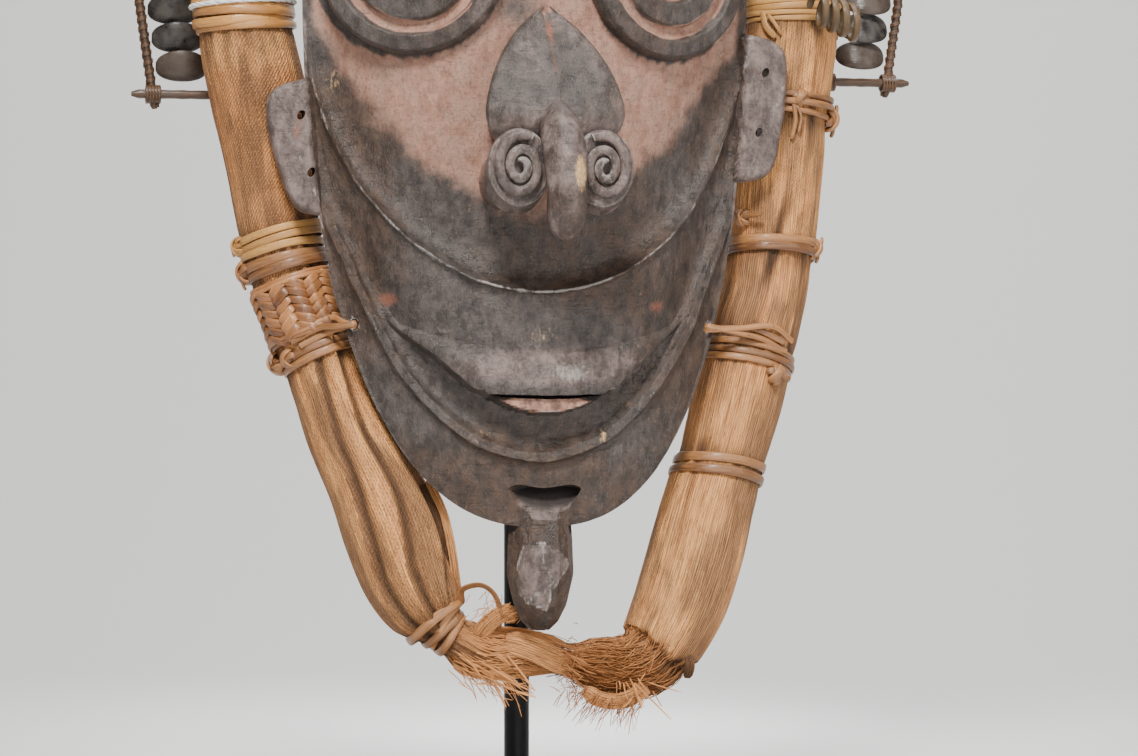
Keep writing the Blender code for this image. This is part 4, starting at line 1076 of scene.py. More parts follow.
def beak_solid():
    """Hooked beak with a worn crest, its tip free of the face."""
    sides = 40
    stations = through(BEAK_STATIONS, np.linspace(0, 1, 72))
    path = np.stack([0 * stations[:, 0], stations[:, 0], stations[:, 1]], -1)
    along = unit(np.gradient(path, axis=0))
    up = np.cross(along, [1.0, 0.0, 0.0])
    a = circle(sides)
    front = np.sin(a)
    ridge = 1 + 0.13 * np.exp(-((front - 1) / 0.10) ** 2) - 0.05 * np.exp(-((np.abs(front) - 0.55) / 0.22) ** 2)
    wide = stations[:, 2][:, None] * np.cos(a) * ridge
    thick = stations[:, 3][:, None] * np.sin(a) * ridge
    grid = path[:, None] + np.array([1.0, 0, 0]) * wide[..., None] + up[:, None] * thick[..., None]
    bumps = 0.22 * noise(grid[..., 0], grid[..., 1], grid[..., 2], 5.0, 61)
    grid = grid + (up[:, None] * bumps[..., None])
    return solid("beak", grid)


def volute_solids(side):
    """Oval nostril on a stalk, and the coiled cord that lies on it."""
    a = circle(64)
    stalk = np.array(((14.0, 0.72, -4.0), (-16.0, 0.86, -4.0), (-26.0, 1.0, -3.0), (-33.0, 1.0, 0.0),
                      (-36.8, 0.98, 0.0), (VOLUTE_DEPTH, 0.90, 0.0), (VOLUTE_DEPTH + 0.3, 0.5, 0.0)))
    depth, share, drop = (stalk[:, n][:, None] for n in range(3))
    sections = np.stack([
        side * VOLUTE_X + VOLUTE_HALF_WIDTH * share * np.cos(a),
        depth + 0 * a,
        VOLUTE_Z + drop + VOLUTE_HALF_HEIGHT * share * np.sin(a),
    ], -1)
    disc = solid("nostril", sections)
    t = np.linspace(0, 1, 170)
    angle = math.radians(COIL_START_DEGREES) + t * COIL_TURNS * 2 * math.pi
    share = 1 - 0.86 * t ** 0.85
    path = np.stack([
        side * (VOLUTE_X - (VOLUTE_HALF_WIDTH - COIL_CORD_RADIUS) * share * np.cos(angle)),
        VOLUTE_DEPTH - 0.6 - 2.0 * t,
        VOLUTE_Z + (VOLUTE_HALF_HEIGHT - COIL_CORD_RADIUS) * share * np.sin(angle),
    ], -1)
    along = unit(np.gradient(path, axis=0))
    front = np.array([0.0, -1.0, 0.0])
    out = unit(np.cross(along, front))
    radius = COIL_CORD_RADIUS * (1 - 0.25 * t) * np.minimum(1, 0.75 + 12 * np.minimum(t, 1 - t))
    b = circle(14)
    c, s = np.cos(b), np.sign(np.sin(b)) * np.abs(np.sin(b)) ** 0.8
    grid = path[:, None] + (radius[:, None] * c)[..., None] * out[:, None] + (radius[:, None] * s)[...,
                                                                                                   None] * front
    grid[..., 1] += 0.18 * noise(*np.moveaxis(grid, -1, 0), 3.5, 71)
    return disc, solid("nostril_coil", grid)


def ear_solid(tab):
    """Pierced tab: a rounded plate that leans back outwards, with a bevelled edge and its root in the mask."""
    outer = tab["outline"]
    corners = (*outer, (EAR_ROOT_X, outer[-1][1] + 3), (EAR_ROOT_X, outer[0][1] - 3), outer[0])
    edge = through(corners, np.linspace(0, 1, 97))[:-1]
    middle = edge.mean(0)
    inward = unit(middle - edge)
    bevel = np.array(((3.0, 0.0), (1.9, 0.35), (0.9, 1.2), (0.2, 2.3), (0, 3.4), (0, EAR_THICKNESS - 1.2),
                      (0.6, EAR_THICKNESS - 0.3), (2, EAR_THICKNESS)))
    flat = middle + (edge + inward * 3.4 - middle) * np.linspace(0.06, 1, 16)[:, None, None]
    rings = []
    for places, depth in [(ring, 0.0) for ring in flat] + [(edge + inward * inset, depth) for inset,
                                                           depth in bevel]:
        x, z = places.T
        root = 6 * rise(1.0, -5.0, x - outline_half_width(z))
        uneven = 0.35 * noise(x, depth, z, 8.0, 81)
        marks, cell = scallops(x, z, 7.0, 83)
        plane = EAR_DEPTH + EAR_SLOPE * (x - EAR_ROOT_X) - 2.0 + 0.35 * noise(x, 5, z, 9.0,
                                                                              82) + 0.4 * marks ** 2
        rings.append(np.stack([tab["side"] * (x + uneven), plane + depth + root, z], -1))
    return solid("ear", rings)


def lug_solid():
    """Faceted lug below the chin."""
    sections = []
    for z, half, front, back in LUG_STATIONS:
        sections.append([
            (-half, (front + back) / 2, z), (-0.62 * half, front + 3.2, z), (-0.35 * half, front + 0.3, z),
            (0.45 * half, front, z), (0.75 * half, front + 3.6, z), (half, (front + back) / 2, z),
            (0.6 * half, back, z), (-0.6 * half, back, z), (-half, (front + back) / 2, z),
        ])
    g = np.array(sections, float)
    rows = np.linspace(0, len(g) - 1, 44)
    columns = np.linspace(0, 8, 81)[:-1]
    down = np.stack([[np.interp(rows, range(len(g)), g[:, j, k]) for k in range(3)] for j in range(9)])
    grid = np.stack([[np.interp(columns, range(9), down[:, k,
                                                        i]) for k in range(3)] for i in range(len(rows))])
    grid = grid.swapaxes(1, 2)
    marks, cell = scallops(grid[..., 0], grid[..., 2], 9.0, 91)
    forward = rise(15, 8, grid[..., 1])
    grid[..., 1] += forward * ((marks ** 2 - 0.4) * -0.7 + (cell - 0.5) * 1.3) + 0.15 * noise(
        grid[..., 0], 0, grid[..., 2], 2.0, 92)
    return solid("lug", grid)


def slit_solid(name, rows):
    """Cutter from rows of its lower and upper edge, half width, depth, middle and bow."""
    steps = 40
    u = 2 * np.arange(steps + 1) / steps - 1
    sections = []
    for low, high, half, depth, middle_x, bow in rows:
        x, taper = middle_x + half * u, (high - low) * np.abs(u) ** 4
        wave = 0.25 * noise(x, 0, high, 5.0, 95)
        lower = np.stack([x, np.full(len(u), depth), low + bow * u * u + 0.5 * taper + wave], -1)
        upper = np.stack([x, np.full(len(u), depth), high + bow * u * u - 0.45 * taper + wave], -1)
        sections.append(np.concatenate([lower, upper[::-1]]))
    return solid(name, sections)


def rod_solid(x, z, radius, tilt=0.0):
    """Straight cutter from front to back."""
    a = circle(28)
    sections = []
    for depth in (-40.0, 0.0, 120.0):
        sections.append(np.stack([x + radius * np.cos(a) + tilt * np.sin(a), np.full(28, depth),
                                  z + radius * 1.25 * np.sin(a)], -1))
    return solid("hole", sections)


def joined(target, additions, cuts):
    """Mesh of target with solids added and cut away."""
    for others, operation in ((additions, "UNION"), (cuts, "DIFFERENCE")):
        for other in others:
            step = target.modifiers.new(other.name, "BOOLEAN")
            step.operation = operation
            step.solver = "MANIFOLD"
            step.object = other
    bpy.context.view_layer.update()
    shaped = target.evaluated_get(bpy.context.evaluated_depsgraph_get())
    mesh = bpy.data.meshes.new_from_object(shaped)
    for other in (target, *additions, *cuts):
        bpy.data.objects.remove(other)
    return placed("mask_carved", mesh)


def vertex_arrays(mesh):
    """Positions in millimetres by x, depth and z, and normals."""
    count = len(mesh.vertices)
    places, normals = np.empty(count * 3), np.empty(count * 3)
    mesh.vertices.foreach_get("co", places)
    mesh.vertex_normals.foreach_get("vector", normals)
    places = places.reshape(-1, 3) / MM - [0.0, FACE_PLANE_Y, 0.0]
    return places, normals.reshape(-1, 3)


def edge_sharpness(mesh, places, normals):
    """Positive on worn edges and negative in creases."""
    ends = np.empty(len(mesh.edges) * 2, dtype=np.int64)
    mesh.edges.foreach_get("vertices", ends)
    a, b = ends.reshape(-1, 2).T
    count = len(places)
    number = np.maximum(np.bincount(a, minlength=count) + np.bincount(b, minlength=count), 1)

    def gathered(values):
        return (np.bincount(a, values[b], count) + np.bincount(b, values[a], count)) / number

    length = np.linalg.norm(places[a] - places[b], axis=1)
    mean_length = (np.bincount(a, length, count) + np.bincount(b, length, count)) / number
    mean = np.stack([gathered(places[:, n]) for n in range(3)], -1)
    bend = np.einsum("ij,ij->i", places - mean, normals) / np.maximum(mean_length, 0.2)
    for _ in range(2):
        bend = 0.5 * bend + 0.5 * gathered(bend)
    return bend


def mask_values(mesh):
    """Where the mask is painted, worn and stained, and where painted highlights and painted shade lie."""
    places, normals = vertex_arrays(mesh)
    x, depth, z = places.T
    bend = edge_sharpness(mesh, places, normals)
    front = rise(0.05, 0.45, -normals[:, 1]) * (depth < edge_depth(z) + 3)
    proud = rise(2.0, 3.6, dome_depth(x, z) - depth)
    nose = proud * (np.abs(x) < 37) * (z > 286) * (z < 408)
    jitter = 4.5 * noise(x, 0, z, 10.0, 101) + 2.0 * noise(x, 0, z, 3.5, 102)
    border = np.interp(x, [-112, -104, -82, -56, -27, 0, 35, 42, 57, 73, 98, 112],
                       [402, 394, 356, 329, 310, 306, 314, 322, 334, 352, 380, 396])
    pink = rise(-12, 16, z - border + jitter) * (1 - nose) * front
    across = (np.abs(x) - EYE_X) / math.cos(math.radians(EYE_LEAN))
    eye = np.hypot(across, z - EYE_Z) + 0.8 * noise(x, 0, z, 6.0, 103)
    ringed = rise(47.6, 49.2, eye) + rise(37.4, 36.4, eye) * rise(30.4, 31.6, eye) + 0.8 * rise(19.5,
                                                                                                18.0, eye)
    pink = pink * (1 - 0.75 * near(x, z, -14, 405, 14, 12)) * ringed * rise(492, 474, z + 0.5 * jitter)
    pink = pink * rise(0.985, 0.93, np.abs(x) / np.maximum(outline_half_width(z), 1.0))
    cheek = rim_distance(CHEEK_RIM, x, z)
    chin = rim_distance(CHIN_RIM, x, z)
    plain = (1 - nose) * front
    wear_and_highlight = rise(0.10, 0.30, bend) * 0.9
    wear_and_highlight += plain * 0.7 * np.exp(-((cheek - 0.2) / 1.1) ** 2) * (0.7 + 0.5 * noise(x, 0, z, 6.0, 104))
    wear_and_highlight += plain * 0.45 * np.exp(-((chin - 1.4) / 1.6) ** 2) * (0.72 + 0.5 * noise(x, 0, z, 7.0, 105))
    # The muzzle patch is worn and partly a painted highlight for its sheen.
    wear_and_highlight += 0.5 * front * near(x, z, 12, 229, 12, 6) + 0.12 * front * near(x, z, -3, 140, 9, 16)
    wear_and_highlight += 0.45 * nose * near(x, z, -2, 328, 6, 16) + 0.05 * (z < 155) * front
    ears = (np.abs(x) > outline_half_width(z) - 1) * (z > 300) * (z < 402)
    lug = front * (z < 153) * (depth < 14)
    bent_x, bent_z = x + 0.7 * noise(x, 0, z, 4.0, 109), z + 0.7 * noise(x, 3, z, 4.0, 110)
    # The lug's large facet, painted paler as a lit face: a painted highlight.
    facet = lug * within(bent_x, bent_z, LUG_FACET)
    scratch = np.minimum(line_distance(bent_x, bent_z, LUG_FACET), line_distance(bent_x, bent_z, LUG_CRACK))
    wear_and_highlight += 0.52 * lug * np.exp(-(scratch / 0.7) ** 2) * (1 + 0.6 * noise(x, 0, z, 7.0, 111))
    # Painted highlights on the lug's facet and along the muzzle top; the ears are a pale worn grey.
    wear_and_highlight += 0.16 * ears + 0.12 * facet + 0.26 * front * near(x, z, 0, 231, 30, 8)
    # Volutes below the nose bulb: worn pale, and made paler still to lift the shade under the bulb, a painted
    # light.
    wear_and_highlight += 0.34 * nose * rise(346, 340, z) * (np.abs(x) > 9)
    lip = rise(-0.6, 0.8, z - lip_line(x)) * rise(0.6, -0.4,
                                                  z - mouth_line(x)) * (np.abs(x) < MOUTH_HALF_WIDTH)
    lip = lip * rise(-13, -11, depth) * rise(0.0, -1.5, depth) * (1 - 0.4 * near(x, z, -24, 216, 9, 6))
    ochre = near(x, z, 5, 322, 3.6, 9.5) * nose * (depth < -35) + 0.62 * near(x, z, 30, 198.6, 2.6, 4.6)
    ochre += 0.36 * near(x, z, 46, 214, 12, 5) + 0.36 * near(x, z, -2, 247, 24, 8)
    ochre += 0.35 * near(x, z, -30, 200, 20, 6) + 0.45 * near(x, z, -97, 372, 5, 10) * front
    red = 0.75 * near(x, z, -72, 265, 6, 5) + 0.7 * near(x, z, 58, 262, 7, 5)
    red += 0.6 * near(x, z, -115, 346, 4, 6) + 0.35 * near(x, z, 118, 364, 4, 6)
    red += nose * (0.8 * near(x, z, 0, 393, 2.4, 8) + 0.6 * near(x, z, 0, 376, 2.6, 8))
    ear_holes = [near(x, z, tab["side"] * hole_x, hole_z, 4.0, 4.6) for tab in EARS for hole_x,
                 hole_z in tab["holes"]]
    red += 0.45 * sum(ear_holes)
    brown = 0.45 + 0.35 * noise(x, 0, z, 45.0, 106) + 0.30 * rise(60, 110, x) + 0.25 * rise(215, 175, z)
    brown -= 0.25 * near(x, z, 0, 250, 70, 12) + 0.5 * ears
    mauve_and_highlight = (0.8 + 0.5 * noise(x, 0, z, 11.0, 108)) * nose * (1 - 0.5 * rise(346, 352, z)) + 0.9 * ears
    # Painted highlights in mauve-grey on the lug's facet and the muzzle top; the face above the chin is a little
    # mauve.
    mauve_and_highlight = mauve_and_highlight + 1.2 * facet + 0.9 * near(x, z, 4, 232, 40, 8) * front + 0.3 * plain * rise(190, 235, z)
    # Painted shade: darker in creases and in a band just under the chin rim's step.
    dirt = rise(0.14, 0.5, -bend) * 0.9
    dirt = dirt + 0.5 * rise(-4, -1, chin) * rise(0.5, -1,
                                                  chin) * plain * (0.5 + 0.5 * noise(x, 0, z, 14.0, 107))
    below_chin = rise(24, 20, np.abs(x - SLOT_X)) * rise(150, 154, z) * rise(196, 184, z) * (depth > 5)
    # Painted shade deep in the slot under the chin.
    slot = below_chin * rise(11.0, 13.5, depth)
    # Painted highlight: the scoop's floor above the slot is made paler where it faces up.
    scoop = below_chin * rise(0.15, 0.45, normals[:, 2]) * rise(172, 168, z) * rise(157.5, 159.5, z)
    # Painted shade in the mouth slit.
    mouth = rise(29, 26, np.abs(x)) * rise(215.6, 216.4, z) * rise(221, 219.6, z) * rise(-2.6, -1.2, depth)
    dirt = dirt + 1.5 * (slot + mouth)
    # Painted shade on deep faces that look backwards.
    dirt += 0.225 * rise(0.1, -0.5, -normals[:, 1]) * (depth > edge_depth(z) + 10)
    for hole in ear_holes:
        wear_and_highlight = wear_and_highlight * (1 - hole)
    # The scoop gets its painted highlight in wear and mauve.
    wear_and_highlight = wear_and_highlight * (1 - 0.8 * below_chin) + 0.42 * scoop
    mauve_and_highlight = mauve_and_highlight + 1.4 * scoop
    return {"pink": pink, "wear_and_highlight": wear_and_highlight * (1 - 0.7 * pink), "ochre": ochre, "red": red,
            "brown": brown, "mauve_and_highlight": mauve_and_highlight, "dirt": dirt, "lip": lip}


def build_mask():
    """The carved mask: parts joined to the face, and hollow, mouth, slot and holes cut out."""
    additions = [ear_solid(tab) for tab in EARS] + [nose_solid(), beak_solid(), lug_solid()]
    for side in (-1, 1):
        additions += volute_solids(side)
    additions += [eye_solid(side) for side in (-1, 1)]
    mouth_z = MOUTH_LINE[0][1]
    cuts = [hollow_solid()]
    cuts.append(slit_solid("mouth", (
        (mouth_z - 1.5, mouth_z + 0.2, MOUTH_HALF_WIDTH * 0.92, -25, 0, 1.4),
        (mouth_z - 1.5, mouth_z + 0.2, MOUTH_HALF_WIDTH * 0.92, -3, 0, 1.4),
        (mouth_z - 1.2, mouth_z + 0.1, MOUTH_HALF_WIDTH * 0.85, 6, 0, 1.2),
    )))
    cuts.append(slit_solid("slot", (
        (SLOT_Z - 29, SLOT_Z + 0.6, SLOT_HALF_WIDTH + 5, -8, SLOT_X - 3, 14),
        (SLOT_Z - 11, SLOT_Z + 2.6, SLOT_HALF_WIDTH + 1, 9, SLOT_X - 1, 6),
        (SLOT_Z - 2.5, SLOT_Z + 3.2, SLOT_HALF_WIDTH - 1, 14, SLOT_X + 2.5, 0),
        (SLOT_Z + 1.5, SLOT_Z + 8.0, SLOT_HALF_WIDTH - 1, 19, SLOT_X + 2.5, 0),
        (SLOT_Z + 7.0, SLOT_Z + 15.0, SLOT_HALF_WIDTH - 1, 24.5, SLOT_X + 2.5, 0),
        (SLOT_Z + 30.0, SLOT_Z + 40.0, SLOT_HALF_WIDTH - 1, 60, SLOT_X + 2.5, 0),
    )))
    cuts += [rod_solid(side * EYE_X, EYE_Z, PUPIL_RADIUS) for side in (-1, 1)]
    for tab in EARS:
        cuts += [rod_solid(tab["side"] * x, z, EAR_HOLE_RADIUS * 0.85, 0.6) for x, z in tab["holes"]]
    cuts += [rod_solid(x, z, EAR_HOLE_RADIUS) for x, z in EDGE_HOLES]
    made = joined(face_solid(), additions, cuts)
    for name, values in mask_values(made.data).items():
        keep_value(made.data, name, values)
    return dress(made, wood_paint(), ("mask",), 42.0)


# Rolls and their ties

def camera_axes():
    """The camera's ways right and ahead on the floor plan, and its place."""
    turn = math.radians(CAMERA_TURN)
    right = np.array([math.cos(turn), math.sin(turn)])
    ahead = np.array([-math.sin(turn), math.cos(turn)])
    return right, ahead, right * CAMERA_AIM_RIGHT - ahead * CAMERA_DISTANCE


def pixels(points):
    """Pixel of the photograph's frame at which the camera sees each point."""
    right, ahead, start = camera_axes()
    floor = points[..., :2] - start
    scale = CAMERA_DISTANCE / MM_PER_PIXEL / (floor @ ahead)
    return np.stack([PHOTO_WIDTH / 2 + (floor @ right) * scale,
                     PHOTO_HEIGHT / 2 - (points[..., 2] - CAMERA_Z) * scale], -1)


def seen_at(px, py, depth):
    """Point at a depth that the camera sees at a pixel."""
    right, ahead, start = camera_axes()
    way = ahead + right * (px - PHOTO_WIDTH / 2) * MM_PER_PIXEL / CAMERA_DISTANCE
    run = (depth - start[1]) / way[1]
    z = CAMERA_Z - (py - PHOTO_HEIGHT / 2) * MM_PER_PIXEL / CAMERA_DISTANCE * run
    return np.array([start[0] + way[0] * run, depth, z])


def eased(path, times=4):
    """Path with its small corners rounded off and its ends kept."""
    path = np.array(path, float)
    for _ in range(times):
        path[1:-1] = (path[:-2] + 2 * path[1:-1] + path[2:]) / 4
    return path


class Roll:
    """A fibre roll: its centre line, the folds in its skin, and places on that skin."""

    def __init__(self, route, folds, pinches, seed, cut=None):
        dense = through(route, np.linspace(0, 1, 4000))
        run = np.concatenate([[0], np.cumsum(np.linalg.norm(np.diff(dense[:, :3], axis=0), axis=1))])
        self.run = np.append(np.arange(0, run[-1] - 0.5, ROLL_PITCH), run[-1])
        self.line = np.stack([np.interp(self.run, run, dense[:, n]) for n in range(4)], -1)
        along = unit(np.gradient(self.line[:, :3], axis=0))
        self.across = unit(np.cross([0.0, 1.0, 0.0], along))
        self.back = np.cross(along, self.across)
        self.rising = slice(int(np.argmin(self.line[:, 2])), int(np.argmax(self.line[:, 2])))
        self.folds = folds
        self.seed = seed
        self.cut = cut
        self.net = NET_RIGHT if cut else NET_LEFT
        self.pinches = [self.height(z) for z in pinches]
        self.front = np.meshgrid(self.run, np.arange(-194, -8, 1.5), indexing="ij")
        self.front_pixels = pixels(self.at(*self.front)[0])

    def height(self, z):
        """Length along the roll at height z."""
        return np.interp(z, self.line[self.rising, 2], self.run[self.rising])

    def past_fold(self, fold, number, s, degrees):
        """Degrees past the edge of a fold, and how far the fold shows at s."""
        start, end, low, high = fold[:4]
        edge = low + (high - low) * np.clip((s - start) / (end - start), 0, 1)
        edge = edge + 4.0 * noise(s, 0, 0, 34.0, self.seed + 10 + number)
        return (degrees - edge) % 360, rise(start - 6, start + 16, s) * rise(end + 6, end - 16, s)

    def relief(self, s, degrees):
        """Height of the skin's folds, pleats and wrinkles."""
        a = np.radians(degrees)
        x, y = SKIN_RADIUS * np.cos(a), SKIN_RADIUS * np.sin(a)
        total = 0.8 * noise(x, s, y, (14.0, 60.0, 14.0), self.seed)
        total = total + 0.45 * noise(x, s, y, (4.0, 44.0, 4.0), self.seed + 1)
        total = total + 0.30 * noise(x, s, y, (1.5, 20.0, 1.5), self.seed + 2)
        for number, fold in enumerate(self.folds):
            past, shown = self.past_fold(fold, number, s, degrees)
            fall = 1 - 1.35 * rise(0, 8, past)
            after = np.where(past < 8, fall, -0.35 * np.exp(-(past - 8) / 9))
            total = total + fold[4] * shown * np.where(past < 60, after, np.exp((past - 360) / fold[5]))
        for place in self.pinches:
            away = np.abs(s - place)
            total = total + 0.9 * noise(x, s / 9, y, 3.0, self.seed + 5) * np.exp(-away / 12)
            total = total - 0.9 * np.exp(-((away / 7) ** 2))
        if self.cut:
            past = self.past_cut(s, degrees)
            total = total + 1.7 * rise(-0.8, 0.8, past) - 1.2 * np.exp(-np.abs(past + 2) / 3) * (past < 0)
        return total

    def past_cut(self, s, degrees):
        """Length past the ragged edge at which the outer sheath ends."""
        edge = np.interp(degrees, *np.array(self.cut, float).T, period=360)
        return s - edge - 1.6 * noise(degrees, 0, 0, 14.0, self.seed + 40) - noise(degrees, 0, 0, 4.0,
                                                                                   self.seed + 41)

    def at(self, s, degrees, lift=0.0):
        """Points on the skin at lengths and angles, raised by lift, and the ways out of it."""
        s, degrees, lift = np.broadcast_arrays(*(np.asarray(v, float) for v in (s, degrees, lift)))

        def along(rows):
            return np.stack([np.interp(s, self.run, rows[:, n]) for n in range(rows.shape[1])], -1)

        line, a = along(self.line), np.radians(degrees)[..., None]
        out = unit(along(self.across) * np.cos(a) + along(self.back) * np.sin(a))
        reach = line[..., 3] + self.relief(s, degrees) + lift
        return line[..., :3] + out * reach[..., None], out

    def spot(self, px, py):
        """Length and angle of the place on the skin that the camera sees at a pixel."""
        away = np.hypot(self.front_pixels[..., 0] - px, self.front_pixels[..., 1] - py)
        best = np.unravel_index(np.argmin(away), away.shape)
        return float(self.front[0][best]), float(self.front[1][best])

    def edge(self, py, degrees):
        """Length at which the skin at an angle is seen at row py."""
        rows = pixels(self.at(self.run[self.rising], degrees)[0])[:, 1]
        return float(np.interp(-py, -rows, self.run[self.rising]))


def wound(piece, roll, low, high, look, thick, number):
    """Strand wound round a roll, by its lengths along the roll at the left and the right."""
    width, bow, tint = look
    degrees = 95 + 7 * number + np.linspace(0, 378, 63)
    view = np.radians(degrees - CAMERA_TURN)
    s = (low + high) / 2 + (high - low) / 2 * np.cos(view) + bow * np.sin(view)
    s = s + 0.35 * noise(degrees, 0, 0, 45.0, 200 + number)
    lift = thick * (0.55 + 0.42 * (1 + np.sin(view + 2.4 * number)))
    path, out = roll.at(s, degrees, lift)
    grow = width * (1 + 0.12 * noise(degrees, 0, 0, 50.0, 230 + number))
    sweep(piece, eased(path), out, grow, thick, 10, 0.5, tint=tint)


def knot(piece, roll, px, py, size, thick, turn, stubs):
    """Lump of three strands drawn over each other, with cut ends."""
    s, degrees = roll.spot(px, py)
    centre, out = roll.at(s, degrees)
    up = unit(roll.at(s + 5, degrees)[0] - roll.at(s - 5, degrees)[0])
    side = np.cross(up, out)
    t = np.linspace(-1, 1, 22)[:, None]
    core = centre + side * size * 0.75 * t + out * size * 0.2
    cord(piece, core, size * 0.66 * np.sqrt(1.05 - t[:, 0] ** 2), 10, tint=0.1)
    for n, (angle, high) in enumerate(((turn + 25, 0.62), (turn - 55, 0.82), (turn + 80, 1.0))):
        a = math.radians(angle)
        along, over = side * math.cos(a) + up * math.sin(a), up * math.cos(a) - side * math.sin(a)
        path = (centre + along * size * np.sin(t * 1.5) + out * (size * high * np.cos(t * 1.5) - 0.3)
                + over * size * 0.28 * (-1) ** n * (1 - t * t))
        normals = unit(path - centre + out * size * 0.3)
        sweep(piece, path, normals, size * 0.72, thick, 10, 0.55, tint=0.4 + 0.15 * n)
    for angle, length in stubs:
        a = math.radians(angle)
        along = side * math.cos(a) + up * math.sin(a)
        t = np.linspace(0, 1, 8)[:, None]
        path = centre + along * length * t + out * (size * 0.55 + 1.2 * np.sin(t * 2.6))
        sweep(piece, path, np.repeat(out[None], 8, 0), size * 0.55, thick, 8, 0.5, 0.9, tint=0.4)


def laid(piece, roll, places, width, thick, **values):
    """Strip over the skin through places given by pixel and lift."""
    keys = np.array([[*roll.spot(px, py), lift] for px, py, lift in places])
    count = max(10, int(4 + 5 * len(places)))
    s, degrees, lift = through(keys, np.linspace(0, 1, count)).T
    path, out = roll.at(s, degrees, lift + thick / 2)
    sweep(piece, eased(path, 2), out, width, thick, 8, 0.5, 0.6, **values)


def free(piece, places, width, thick, sides=8, **values):
    """Strip through places given by pixel and depth."""
    keys = [seen_at(*place) for place in places]
    path = through(keys, np.linspace(0, 1, 6 + 5 * len(places)))
    sweep(piece, path, carried(path, (0.0, -1.0, 0.0)), width, thick, sides, 0.5, 0.6, **values)


def fibres(piece, start, way, count, length, spread, fall, seed, radius=0.22, jitter=(1, 1, 1), **values):
    """Tuft of fine fibres from about a place, along a way and falling."""
    chance = np.random.default_rng(seed)
    t = np.linspace(0, 1, 7)[:, None]
    for _ in range(count):
        first = np.array(start) + chance.normal(0, 1, 3) * jitter
        along = unit(np.array(way, float)) + chance.normal(0, spread, 3)
        reach = length * chance.uniform(0.45, 1.15)
        curl = chance.normal(0, 0.22, 3) * reach
        path = first + along * reach * t + curl * t * t + np.array([0, 0, -fall * reach]) * t * t
        cord(piece, path, radius * chance.uniform(0.6, 1.3), 3, **values)


TIES = {
    "tie_left_top": {
        "roll": "left", "slot": "rattan_orange", "thick": 1.8,
        "strands": ((4, 9, 4.6, 0.5, 0.9), (14, 14, 4.2, -0.5, 0.3), (24, 19, 4.6, 0.5, 0.8),
                    (31, 25, 3.6, 0.0, 0.4)),
    },
    "tie_left_yellow": {
        "roll": "left", "slot": "bast_yellow", "thick": 1.3,
        "strands": ((244, 222, 4.0, 0.0, 0.9), (252, 230, 3.6, 0.5, 0.5), (259, 240, 3.8, 0.0, 0.8)),
        "knots": ((229, 250, 5.0, 20, ((200, 8),)),),
    },
    "tie_left_upper": {
        "roll": "left", "slot": "rattan_brown", "thick": 1.6,
        "strands": ((270, 252, 5.4, 0.0, 0.4), (280, 258, 5.0, 0.5, 0.1)),
        "knots": ((247, 274, 6.0, -10, ((160, 9), (250, 8))),),
    },
    "tie_left_lower": {
        "roll": "left", "slot": "rattan_brown", "thick": 1.5,
        "strands": ((366, 338, 4.4, 0.0, 0.2), (374, 346, 4.0, 0.5, 0.55)),
        "knots": ((280, 364, 6.2, 30, ((10, 13), (190, 8))), (291, 360, 4.6, -30, ())),
        "strap": (-88.0, 253.0),
    },
    "tie_left_neck": {
        "roll": "left", "slot": "rattan_brown", "thick": 1.5, "strands": (),
        "rings": ((61, 63, 4.6, 0.5, 0.7), (67, 65, 4.4, 0.0, 0.4), (71, 72, 4.6, -0.5, 0.6),
                  (64, 71, 3.4, 0.0, 0.9)),
        "loop": ((462, 604, 30), (462, 590, 26), (480, 585, 22), (494, 594, 20), (500, 612, 22),
                 (498, 630, 26)),
    },
    "tie_right_bast": {
        "roll": "right", "slot": "bast_yellow", "thick": 1.2,
        "strands": ((6, 2, 3.2, 0.0, 0.9), (12, 8, 3.4, 0.6, 0.5), (17, 16, 3.0, 0.0, 0.8),
                    (24, 22, 2.6, -0.6, 0.6)),
        "bits": ((3.0, ((764, 12, 1.5), (768, 26, 2.4), (776, 38, 1.2))),
                 (2.0, ((770, 16, 1.6), (778, 28, 2.2), (782, 34, 0.8)))),
    },
    "tie_right_twist": {
        "roll": "right", "slot": "rattan_brown", "thick": 2.0,
        "strands": ((97, 100, 3.2, 0.0, 0.2), (103, 108, 3.2, 0.8, 0.4), (112, 118, 2.8, 0.0, 0.5)),
        "knots": ((836, 122, 6.0, 10, ((80, 8), (-60, 9))), (800, 98, 4.2, -30, ())),
        "bits": ((2.4, ((792, 102, 1.0), (794, 120, 1.8), (790, 138, 0.8))),
                 (1.6, ((796, 104, 1.0), (799, 118, 1.6), (797, 132, 0.8)))),
    },
    "tie_right_double": {
        "roll": "right", "slot": "rattan_brown", "thick": 1.6,
        "strands": ((244, 243, 4.6, 0.4, 0.65), (253, 254, 4.4, -0.3, 0.0)),
        "knots": ((812, 250, 5.0, 0, ((70, 7), (-80, 7))), (744, 218, 4.6, 20, ((4, 13), (150, 5)))),
    },
    "tie_right_triple": {
        "roll": "right", "slot": "rattan_brown", "thick": 1.6,
        "strands": ((342, 360, 3.6, 0.0, 0.45), (350, 368, 3.4, 0.6, 0.1), (358, 375, 3.4, 0.0, 0.55)),
        "knots": ((775, 374, 5.2, -20, ((0, 7),)),),
        "strap": (89.0, 252.0),
    },
    "tie_right_flat": {
        "roll": "right", "slot": "rattan_brown", "thick": 1.4,
        "strands": ((458, 468, 5.0, 0.0, 0.5), (469, 481, 4.6, 0.4, 0.15)),
    },
}


